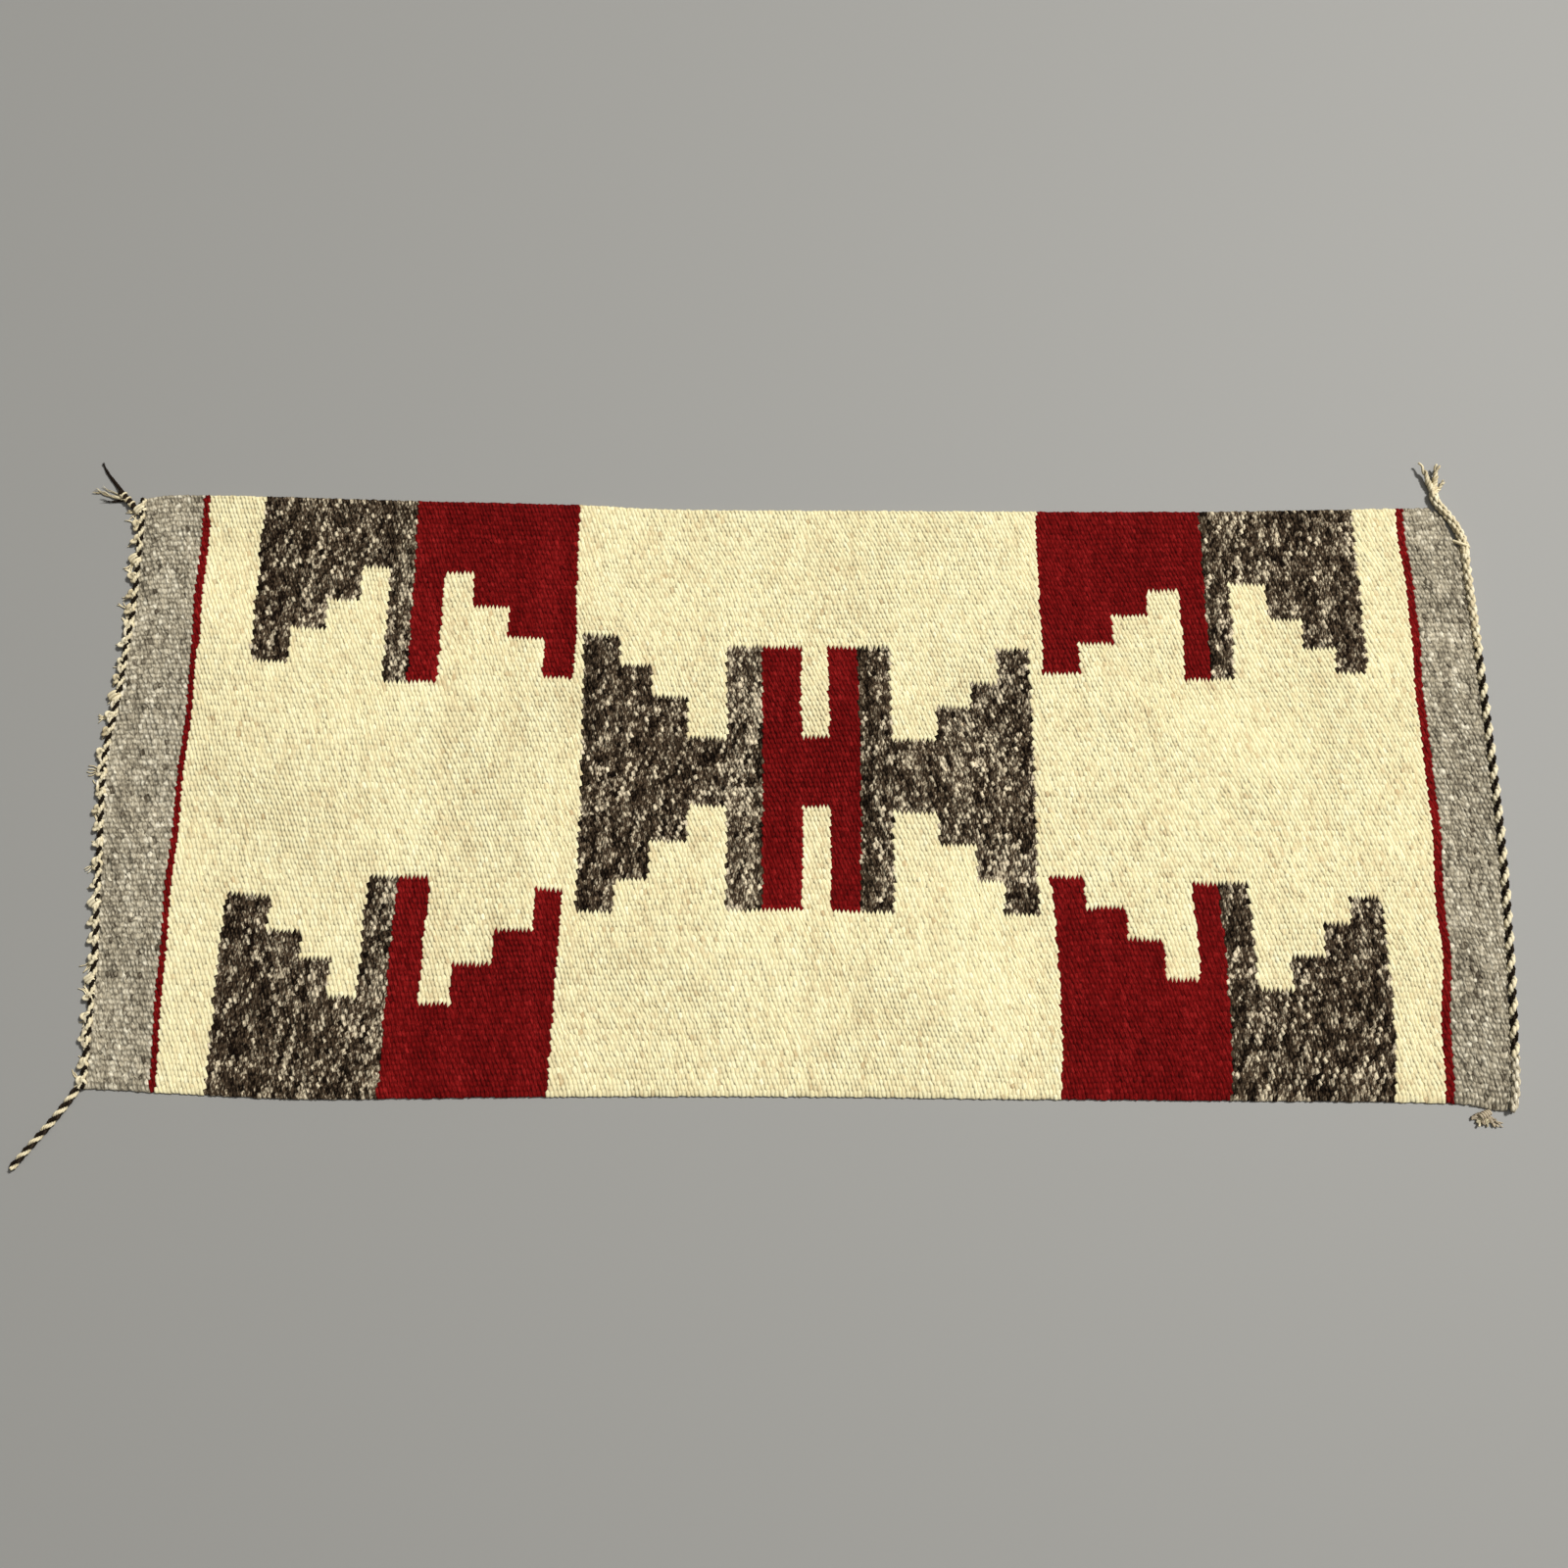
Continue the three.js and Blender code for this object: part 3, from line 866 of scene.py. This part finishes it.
# %% Body of the cloth
BODY_TOP_MM = 1.9
BODY_INSET = 0.9
BODY_MAP_GAP = 20.0
WALL_MAP = 30.0
UNDER_FLEECE = (0.5, 0.2)


def lattice_index(warp, column):
    return warp * seam_x.shape[1] + column + 1


# Patches of the underside, turned to face down, then only the lattice corners they use
patches = np.stack(
    [lattice_index(bead_warp + seam, bead_column + beside) for seam, beside in CORNERS[::-1]], axis=1,
)
used, patches = np.unique(patches, return_inverse=True)
patches = patches.reshape(-1, len(CORNERS))
under = np.column_stack([seam_x.ravel()[used], seam_y.ravel()[used], np.zeros(len(used))])
under[:, 0] = np.clip(under[:, 0], LEFT_END + BODY_INSET, LEFT_END + LENGTH - BODY_INSET)
under[:, 1] = np.clip(under[:, 1], BODY_INSET - WIDTH / 2, WIDTH / 2 - BODY_INSET)
under_flat = under[:, :2].copy()

# The rim is every patch side that no other patch shares, walked once round
sides_of = np.stack([patches, np.roll(patches, -1, axis=1)], axis=2).reshape(-1, 2)
both_ways = set(map(tuple, sides_of))
after = {a: b for a, b in map(tuple, sides_of) if (b, a) not in both_ways}
rim = [next(iter(after))]
while after[rim[-1]] != rim[0]:
    rim.append(after[rim[-1]])
rim = np.array(rim)
rim_top = len(under) + np.arange(len(rim))
walls = np.stack([np.roll(rim, -1), rim, rim_top, np.roll(rim_top, -1)], axis=1)
upper = under[rim] + (0, 0, BODY_TOP_MM)
body_points = laid(np.vstack([under, upper]))

# Each face has its own place on the map: the underside, and above it the walls as one long strip
share_round = np.arange(len(rim)) * LENGTH / len(rim)
strip = np.empty((len(rim), 4, 2))
strip[:, :, 0] = LEFT_END + share_round[:, None] + np.array([1, 0, 0, 1]) * LENGTH / len(rim)
strip[:, :, 1] = WIDTH / 2 + BODY_MAP_GAP + np.array([0, 0, 1, 1]) * WALL_MAP
body_map = np.concatenate([under_flat[patches].reshape(-1, 2), strip.reshape(-1, 2)])
body_yarn = np.concatenate([bead_yarn, np.full(len(rim), BORDER)])
body = make_piece(
    "woven_body", body_points, [patches, walls],
    [MATERIALS[name] for name in YARN_NAMES], body_yarn,
    np.clip(rng.normal(*UNDER_FLEECE, len(body_points)), 0, 1), body_map,
)
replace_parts(body, "rug_cloth")

# %% [markdown]
# ## Cords, knots and frayed ends
#
# Everything round the edge is yarn laid along a line: a twisted cord is two or three lines that wind
# round each other, a knot is a line coiled or crossed over itself, and a frayed end is a short wavy
# line. Bevelled curves could do it, but hundreds of curve objects are slow. So one helper makes round
# tubes along many lines at once, and the rest of this section only draws lines.

# %% Tubes along lines
CAP_PLACE = 0.985
CAP_SIZE = 0.008
# Percentile of the distance from the core at which a strand's painted shade ends
CROWN_FULL = 90
BAND_FILL = 0.9
STEEP = 0.9
TUBE_FLEECE = (0.5, 0.12)


def unit(vectors):
    return vectors / np.linalg.norm(vectors, axis=-1, keepdims=True)


def tubes(lines, radii, sides):
    """Points, quads and caps of round tubes along lines of equal length."""
    lines = np.asarray(lines, float)
    count, n, _ = lines.shape
    radii = np.broadcast_to(radii, (count, n))
    tangent = unit(np.gradient(lines, axis=1))
    side = np.empty_like(tangent)
    helper = np.where(np.abs(tangent[:, :1, 2:]) > STEEP, (1.0, 0.0, 0.0), (0.0, 0.0, 1.0))
    side[:, 0] = unit(np.cross(helper[:, 0], tangent[:, 0]))
    # Each ring takes over its side direction from the ring before, so that the tube doesn't twist
    for k in range(1, n):
        drift = (side[:, k - 1] * tangent[:, k]).sum(1, keepdims=True)
        side[:, k] = unit(side[:, k - 1] - drift * tangent[:, k])
    rise = np.cross(tangent, side)
    angle = 2 * math.pi * np.arange(sides) / sides
    spoke = np.cos(angle)[:, None] * side[:, :, None] + np.sin(angle)[:, None] * rise[:, :, None]
    points = lines[:, :, None] + radii[:, :, None, None] * spoke
    index = np.arange(count * n * sides).reshape(count, n, sides)
    turned = np.roll(index, -1, axis=2)
    quads = np.stack([index[:, :-1], turned[:, :-1], turned[:, 1:], index[:, 1:]], axis=-1)
    caps = np.concatenate([index[:, 0, ::-1], index[:, -1]])
    return points.reshape(-1, 3), quads, caps


def strand_shade_crown(points, count, core):
    """Painted shade of a strand: nought where it faces the line that it winds round, one on its outer
    side.
    """
    away = np.linalg.norm(points.reshape(count, core.shape[-2], -1, 3) - core[..., None, :], axis=-1)
    low, high = away.min(), np.percentile(away, CROWN_FULL)
    return np.clip((away - low) / (high - low), 0, 1).ravel()


def tube_map(quads, caps, first_band, bands):
    """A place on the map for each face corner: one level band for each tube."""
    count, n, sides, _ = quads.shape
    band = (first_band + np.arange(count)) / bands
    along = np.arange(n)[None, :, None, None] + np.array([0, 0, 1, 1])
    round_it = np.arange(sides)[None, None, :, None] + np.array([0, 1, 1, 0])
    places = np.empty(quads.shape + (2,))
    places[..., 0] = along / n * (CAP_PLACE - 2 * CAP_SIZE)
    places[..., 1] = band[:, None, None, None] + round_it / sides * BAND_FILL / bands
    angle = 2 * math.pi * np.arange(sides) / sides
    cap_along = CAP_PLACE + CAP_SIZE * np.cos(angle)
    cap_across = BAND_FILL / 2 / bands * (1 + np.sin(angle))
    circle = np.stack([cap_along, cap_across], axis=1)
    cap_places = np.tile(circle, (2 * count, 1, 1))
    cap_places[..., 1] += np.tile(band, 2)[:, None]
    return places.reshape(-1, 2), cap_places.reshape(-1, 2)


def tube_piece(name, bundles, material_names):
    """A piece from bundles: lines, radii, sides, material number, line to wind round; strands get painted
    shade on the side that faces it.
    """
    points, faces, colours, fleece, places, crowns = [], [], [], [], [], []
    bands = sum(len(bundle[0]) for bundle in bundles)
    offset = band = 0
    for lines, radii, sides, colour, core in bundles:
        made, quads, caps = tubes(lines, radii, sides)
        crown = np.ones(len(made)) if core is None else strand_shade_crown(made, len(lines), np.asarray(core))
        crowns += [crown[quads.ravel()], crown[caps.ravel()]]
        points.append(made)
        faces += [quads.reshape(-1, 4) + offset, caps + offset]
        colours.append(np.full(quads.size // 4 + len(caps), colour))
        fleece.append(np.repeat(rng.normal(*TUBE_FLEECE, len(lines)), len(made) // len(lines)))
        places += tube_map(quads, caps, band, bands)
        offset += len(made)
        band += len(lines)
    materials = [MATERIALS[name_of_yarn] for name_of_yarn in material_names]
    piece = make_piece(
        name, np.concatenate(points), faces, materials, np.concatenate(colours),
        np.concatenate(fleece), np.concatenate(places), np.concatenate(crowns),
    )
    return piece


# %% [markdown]
# A real cord is twisted twice: strands are spun one way into a ply, and plies are laid the other way
# into a cord, which keeps it from coming undone. The lines are drawn in the same two steps, each as a
# line that winds round another.

# %% Lines of twisted cord
UP = np.array([0.0, 0.0, 1.0])
STRAND_LAY = 0.6
STRAND_OUT = 0.5


def even_steps(line, step):
    """The same line with points an even step apart."""
    line = np.asarray(line, float)
    reach = np.concatenate([[0], np.cumsum(np.linalg.norm(np.diff(line, axis=0), axis=1))])
    at = np.linspace(0, reach[-1], max(3, int(reach[-1] / step)))
    return np.column_stack([np.interp(at, reach, line[:, k]) for k in range(line.shape[1])])


def wound(line, lay, radius, phase):
    """A line that winds round another; a negative lay winds the other way."""
    step = np.linalg.norm(np.gradient(line, axis=0), axis=1)
    angle = 2 * math.pi * (np.cumsum(step) / lay + phase)
    side = unit(np.cross(UP, np.gradient(line, axis=0)))
    rise = unit(np.cross(np.gradient(line, axis=0), side))
    return line + radius * (np.cos(angle)[:, None] * side + np.sin(angle)[:, None] * rise)


def plied(line, lay, plies, ply_radius, strands, squeeze=1.0):
    """For each ply of a cord, the lines of its strands, which are twisted the other way."""
    out = squeeze * ply_radius / math.sin(math.pi / plies)
    cords = []
    for k in range(plies):
        ply = wound(line, lay, out, k / plies)
        turns = [j / strands for j in range(strands)]
        cords.append([wound(ply, -STRAND_LAY * lay, STRAND_OUT * ply_radius, turn) for turn in turns])
    return cords


def beside(line, out, height):
    """A line beside an edge that is walked away from the camera; out is to the right."""
    ahead = unit(np.gradient(line, axis=0))
    x = line[:, 0] + out * ahead[:, 1]
    y = line[:, 1] - out * ahead[:, 0]
    return np.column_stack([x, y, np.full(len(line), height)])


def cord_plies(route, cord, plies, strands=2):
    return plied(route, cord["lay"], plies, cord["ply"], strands, cord["squeeze"])


# %% [markdown]
# The right end is finished with a cord of two plies, dark and cream, laid close along the last weft.
# The winding shows as a dark fleck at each turn. Towards the front the border yarn covers it; towards
# the back both plies are cream, and at the corner a thicker cream rope, held by one stitch, leaves the
# cloth and leads to the tuft.

# %% Right end cord
DARK, PALE, WRAP = range(3)
CORD_YARNS = ["dark_ply", "knot_cotton", "border_wool"]
THIN_SIDES, ROUND_SIDES = 5, 6
STEP_MM = 1.3
GUIDE_STEP_MM = 4.0
RIGHT_CORD = dict(lay=15.5, ply=1.8, squeeze=0.7, strand=1.5, dark_strand=1.0, height=3.6, out=1.9)
COVERED_TO = -190.0
DARK_TO = 112.0
CORNER_ROPE = [(504.5, 183), (504, 196), (499.5, 210), (492, 222), (486, 231), (484.5, 238)]
STITCH = [(496.5, 198.5, 3.4), (500, 195.5, 6.2), (505, 193.5, 6.6), (508, 193.5, 3.0)]
ROPE = dict(lay=17.0, ply=1.75, squeeze=0.82, strand=1.2, height=3.8)

right_guide = beside(even_steps(right_line, GUIDE_STEP_MM), RIGHT_CORD["out"], RIGHT_CORD["height"])
right_route = even_steps(right_guide, STEP_MM)
right_plies = np.array(cord_plies(right_route, RIGHT_CORD, 2))
rope_line = smooth_curve([(x, y, ROPE["height"]) for x, y in CORNER_ROPE])
rope_route = even_steps(rope_line, STEP_MM)
rope_plies = cord_plies(rope_route, ROPE, 3)
bundles = [(ply, ROPE["strand"], ROUND_SIDES, PALE, rope_route) for ply in rope_plies]
bundles.append(([smooth_curve(STITCH)], ROPE["strand"], ROUND_SIDES, PALE, None))

# Three stretches, each with the yarn of its two plies; they overlap by two steps
limits = (-np.inf, COVERED_TO, DARK_TO, np.inf)
for low, high, colours in zip(limits, limits[1:], ((WRAP, WRAP), (DARK, PALE), (PALE, PALE))):
    stretch = (right_route[:, 1] >= low) & (right_route[:, 1] <= high + 2 * STEP_MM)
    for ply, colour in zip(right_plies, colours):
        thickness = RIGHT_CORD["dark_strand" if colour == DARK else "strand"]
        bundles.append((ply[:, stretch], thickness, THIN_SIDES, colour, right_route[stretch]))
right_cord = tube_piece("right_plied_cord", bundles, CORD_YARNS)
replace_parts(right_cord, "right_end_cord")

# %% [markdown]
# On the left the warp ends are knotted in small bundles over a cord of a dark and a cream ply, and most
# bundles are left with a few frayed tips. One knot could be modelled and copied, but no two real ones
# are alike. So a few are drawn as a leaning coil, the others as a strand crossed over itself, each
# turned and sized at random.

# %% Left end cord and knot lines
KNOTS = 32
KNOT_MARGIN = 6.0
KNOT_JITTER = 2.2
KNOT_OUT = 3.0
KNOT_HEIGHT = 3.1
KNOT_HEADING = 2.45
KNOT_STRAND = 1.3
KNOT_STEPS = 64
LEFT_CORD = dict(lay=12.0, ply=1.5, squeeze=0.72, strand=1.1, height=3.3, out=-0.8, guide=6.0, step=1.8)
COIL = dict(turns=2.7, across=3.5, high=1.7, pitch=2.3, lean=0.6, ends=0.72)
OVERHAND = dict(along=1.45, across=1.15, high=1.1)
left_guide = beside(even_steps(left_line, LEFT_CORD["guide"]), LEFT_CORD["out"], LEFT_CORD["height"])
left_route = even_steps(left_guide, LEFT_CORD["step"])
left_plies = cord_plies(left_route, LEFT_CORD, 2)
knot_line = beside(even_steps(left_line, 1.0), -KNOT_OUT, KNOT_HEIGHT)


def directions(heading):
    """Unit vectors ahead and to the left of a heading on the floor."""
    ahead = np.array([math.cos(heading), math.sin(heading), 0])
    return ahead, np.array([-ahead[1], ahead[0], 0])


def coil(centre, heading, size):
    """One leaning coil; its axis points along the heading."""
    t = np.linspace(0, 1, KNOT_STEPS)
    angle = 2 * math.pi * COIL["turns"] * t
    swell = size * (COIL["ends"] + (1 - COIL["ends"]) * np.sin(math.pi * t))
    axis = (t - 0.5) * COIL["pitch"] * COIL["turns"] * size + COIL["lean"] * np.cos(angle)
    ahead, left = directions(heading)
    across = COIL["across"] * swell * np.cos(angle)
    rise = COIL["high"] * swell * np.sin(angle)
    return centre + axis[:, None] * ahead + across[:, None] * left + rise[:, None] * UP


def overhand(centre, heading, size):
    """A strand crossed over itself three times, the simplest real knot, drawn out along the heading."""
    t = np.linspace(0, 2 * math.pi, KNOT_STEPS)
    ahead, left = directions(heading)
    along = OVERHAND["along"] * size * (np.sin(t) + 2 * np.sin(2 * t))
    across = OVERHAND["across"] * size * (np.cos(t) - 2 * np.cos(2 * t))
    rise = -OVERHAND["high"] * np.sin(3 * t)
    return centre + along[:, None] * ahead + across[:, None] * left + rise[:, None] * UP


print("left cord points:", len(left_route), "and places for knots:", KNOTS)

# %% [markdown]
# A frayed tip is a line that wanders a little and sinks to the floor. Particle hair could be combed
# there, but a handful of drawn strands is enough, and each stays where it is put. Between the knots a
# few loops of the border yarn come out of the cloth.

# %% Knots, frayed tips and loops
FRAY_STEPS = 9
FRAY_REST = 0.75
FRAY_CURL = 0.2
FRAY_WAVES = 2.2
FRAY_PHASES = 6.3
FRAY_SINK = 1.5


def wavy(root, heading, length, rise, wave, steps=FRAY_STEPS, curl=FRAY_CURL):
    """A frayed strand that sinks to the floor, or lifts by rise at its tip."""
    t = np.linspace(0, 1, steps)
    bend = wave * np.sin(FRAY_WAVES * math.pi * t + rng.uniform(0, FRAY_PHASES)) * t
    bend = bend + rng.normal(0, curl) * length * t**2
    ahead, left = directions(heading)
    line = root + (length * t)[:, None] * ahead + bend[:, None] * left
    line[:, 2] = np.maximum(root[2] * (1 - t) ** FRAY_SINK + rise * t, FRAY_REST)
    return line


COIL_SHARE = 0.2
KNOT_SIZE = (0.7, 1.05)
KNOT_SHIFT = 0.6
KNOT_TURN = 0.5
CROSS_TURN = 1.2
INNER_KNOT = dict(drop=0.5, size=0.6)
FAN_SHARE = 0.3
FAN = dict(strands=(3, 6), length=(9, 12))
WISP = dict(strands=(0, 3), length=(5, 8))
FRAY = dict(turn=1.2, spread=0.2, wave=0.6, root=0.72, tip=0.3, sides=4)
LOOP = dict(
    count=14, reach=205, steps=12, half=4.2, inset=1.5, out=5.5, flat=0.98,
    height=2.6, rise=1.3, strand=1.2,
)
knots, knot_cores, frays, loops = [], [], [], []
knot_places = np.linspace(KNOT_MARGIN, len(knot_line) - 1 - KNOT_MARGIN, KNOTS)
for place in knot_places + rng.uniform(-KNOT_JITTER, KNOT_JITTER, KNOTS):
    size = rng.uniform(*KNOT_SIZE)
    centre = knot_line[int(np.clip(place, 0, len(knot_line) - 1))] + (rng.normal(0, KNOT_SHIFT), 0, 0)
    heading = KNOT_HEADING + rng.normal(0, KNOT_TURN)
    if rng.random() < COIL_SHARE:
        knots.append(coil(centre, heading, size))
    else:
        inner_centre = centre - INNER_KNOT["drop"] * UP
        knots.append(overhand(centre, heading - CROSS_TURN, size))
        knots.append(overhand(inner_centre, heading - CROSS_TURN, INNER_KNOT["size"] * size))
    knot_cores += [np.tile(centre, (KNOT_STEPS, 1))] * (len(knots) - len(knot_cores))
    tips = FAN if rng.random() < FAN_SHARE else WISP
    tips_heading = math.pi + rng.uniform(-FRAY["turn"], FRAY["turn"])
    for _ in range(rng.integers(*tips["strands"])):
        length = rng.uniform(*tips["length"])
        frays.append(wavy(centre, tips_heading + rng.normal(0, FRAY["spread"]), length, 0, FRAY["wave"]))
for y in rng.uniform(-LOOP["reach"], LOOP["reach"], LOOP["count"]):
    t = np.linspace(-1, 1, LOOP["steps"])
    x = left_x(y) + LOOP["inset"] - LOOP["out"] * np.sqrt(1 - LOOP["flat"] * t**2)
    loops.append(np.column_stack([x, y + LOOP["half"] * t, LOOP["height"] + LOOP["rise"] * (1 - t**2)]))
fray_radii = np.linspace(FRAY["root"], FRAY["tip"], FRAY_STEPS)
bundles = []
for ply, colour in zip(left_plies, (DARK, PALE)):
    bundles.append((ply, LEFT_CORD["strand"], THIN_SIDES, colour, left_route))
bundles.append((knots, KNOT_STRAND, ROUND_SIDES, PALE, knot_cores))
bundles.append((frays, fray_radii, FRAY["sides"], PALE, None))
bundles.append((loops, LOOP["strand"], ROUND_SIDES, WRAP, None))
left_end = tube_piece("left_knotted_end", bundles, CORD_YARNS)
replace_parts(left_end, "left_end_knots")

# %% [markdown]
# The four corners end in tassels. The front left one is a long tail of two plies, dark and cream, that
# lies on the floor. It is one more cord, drawn along its own line and a little thinner at the tip.

# %% Front left tail
TAIL_ROUTE = [(-496.5, -220), (-500.5, -227.5), (-511, -243), (-524, -260), (-535.5, -275.5)]
TAIL = dict(lay=12.0, ply=1.6, height=3.1, squeeze=0.72, step=0.8, strands=3, root=1.0, tip=0.75)
tail_line = even_steps(smooth_curve([(x, y, TAIL["height"]) for x, y in TAIL_ROUTE]), TAIL["step"])
tail_plies = cord_plies(tail_line, TAIL, 2, TAIL["strands"])
tail_radius = np.linspace(TAIL["root"], TAIL["tip"], len(tail_line))
tail = tube_piece(
    "front_left_tail_yarn",
    [(ply, tail_radius, ROUND_SIDES, colour, tail_line) for ply, colour in zip(tail_plies, (DARK, PALE))],
    ["dark_ply", "knot_cotton"],
)
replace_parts(tail, "front_left_tail")

# %% [markdown]
# The other three corners end in a head wrapped with a few turns of yarn, out of which locks spread. A
# lock is a few strands wound loosely round one wavy line, thick at the root and open at the tip. Single
# hairs would look finer still, but from a step away the eye sees locks.

# %% Corner tufts
HEAD = dict(steps=90, turn=1.7, ends=0.7, strand=0.9)
RING = dict(length=1.9, out=0.7, strand=0.75)


def wrapped_head(x, y, heading, length, radius):
    """A few turns of yarn round a neck, as one coil along the heading."""
    t = np.linspace(0, 1, HEAD["steps"])
    turns = length / HEAD["turn"]
    angle = 2 * math.pi * turns * t
    ahead, left = directions(heading)
    swell = radius * (HEAD["ends"] + (1 - HEAD["ends"]) * np.sin(math.pi * t))
    line = np.array([x, y, radius + HEAD["strand"]]) + ((t - 0.5) * length)[:, None] * ahead
    return line + (swell * np.cos(angle))[:, None] * left + (swell * np.sin(angle))[:, None] * UP


LOCK_STEPS = 22
LOCK = dict(lay=8.0, wave=0.7, curl=0.06, root_out=0.55, less_out=0.3, open_tip=1.0, root_height=2.4)
ROOT_SHARE = 0.5


def lock(root, heading, length, lift, thick, strands):
    """Strands wound loosely together, thinner and looser towards the tip."""
    line = wavy(root, heading, length, lift, LOCK["wave"], steps=LOCK_STEPS, curl=LOCK["curl"])
    t = np.linspace(0, 1, LOCK_STEPS)[:, None]
    out = thick * (LOCK["root_out"] - LOCK["less_out"] * t)
    strand_lines = []
    for k in range(strands):
        strand = wound(line, LOCK["lay"], out, k / strands) + rng.normal(0, LOCK["open_tip"], 3) * t**3
        strand[:, 2] = np.maximum(strand[:, 2], ROOT_SHARE * thick)
        strand_lines.append(strand)
    return strand_lines


def tuft(name, node, head, rings, rows, tip, material_names):
    """A wrapped head with rings and locks.

    The head is x, y, heading in degrees, length, radius and material number. A ring is its place along
    the head and its material number. Each row is one lock: heading, length, lift, thickness, strand count
    and material number.
    """
    x, y, heading, length, radius, colour = head
    turn = math.radians(heading)
    ahead = directions(turn)[0]
    bundles = [([wrapped_head(x, y, turn, length, radius)], HEAD["strand"], ROUND_SIDES, colour, None)]
    for along, ring_colour in rings:
        ring_x, ring_y = x + along * ahead[0], y + along * ahead[1]
        ring = wrapped_head(ring_x, ring_y, turn, RING["length"], radius + RING["out"])
        bundles.append(([ring], RING["strand"], ROUND_SIDES, ring_colour, None))
    for lock_heading, lock_length, lift, thick, strands, lock_colour in rows:
        root = np.array([x, y, LOCK["root_height"]])
        lines = lock(root, math.radians(lock_heading), lock_length, lift, thick, strands)
        radii = thick * np.linspace(ROOT_SHARE, tip, LOCK_STEPS)
        bundles.append((lines, radii, THIN_SIDES, lock_colour, np.mean(lines, axis=0)))
    piece = tube_piece(name, bundles, material_names)
    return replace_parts(piece, node)


back_left = tuft(
    "back_left_tuft_yarn", "back_left_tuft", (-513, 221.3, 134, 20, 1.9, 0),
    [(-5.0, 1), (0.0, 1), (5.0, 1)],
    [(131, 39, 0, 2.2, 4, 0), (147, 24, 0, 1.0, 3, 1), (162, 29, 0, 1.8, 5, 1), (181, 21, 0, 1.3, 3, 0)],
    0.1,
    ["dark_ply", "knot_cotton"],
)
back_right = tuft(
    "back_right_tuft_yarn", "back_right_tuft", (486.2, 237.5, 112, 9, 1.7, 0),
    [],
    [(114, 23, 6, 2.8, 3, 0), (90, 22, 6, 2.8, 3, 0), (52, 13, 3, 2.0, 3, 0)],
    0.32,
    ["knot_cotton"],
)
front_right = tuft(
    "front_right_tuft_yarn", "front_right_tuft", (477.5, -228.0, 205, 8, 2.0, 0),
    [],
    [(-168, 9, 0, 2.4, 4, 0), (-135, 8, 0, 2.4, 3, 1), (-105, 7, 0, 2.4, 4, 0), (-75, 8, 0, 2.2, 3, 1),
     (-45, 11, 0, 2.0, 4, 0), (-24, 14, 0, 1.2, 3, 0)],
    0.32,
    ["tan_ply", "knot_cotton"],
)
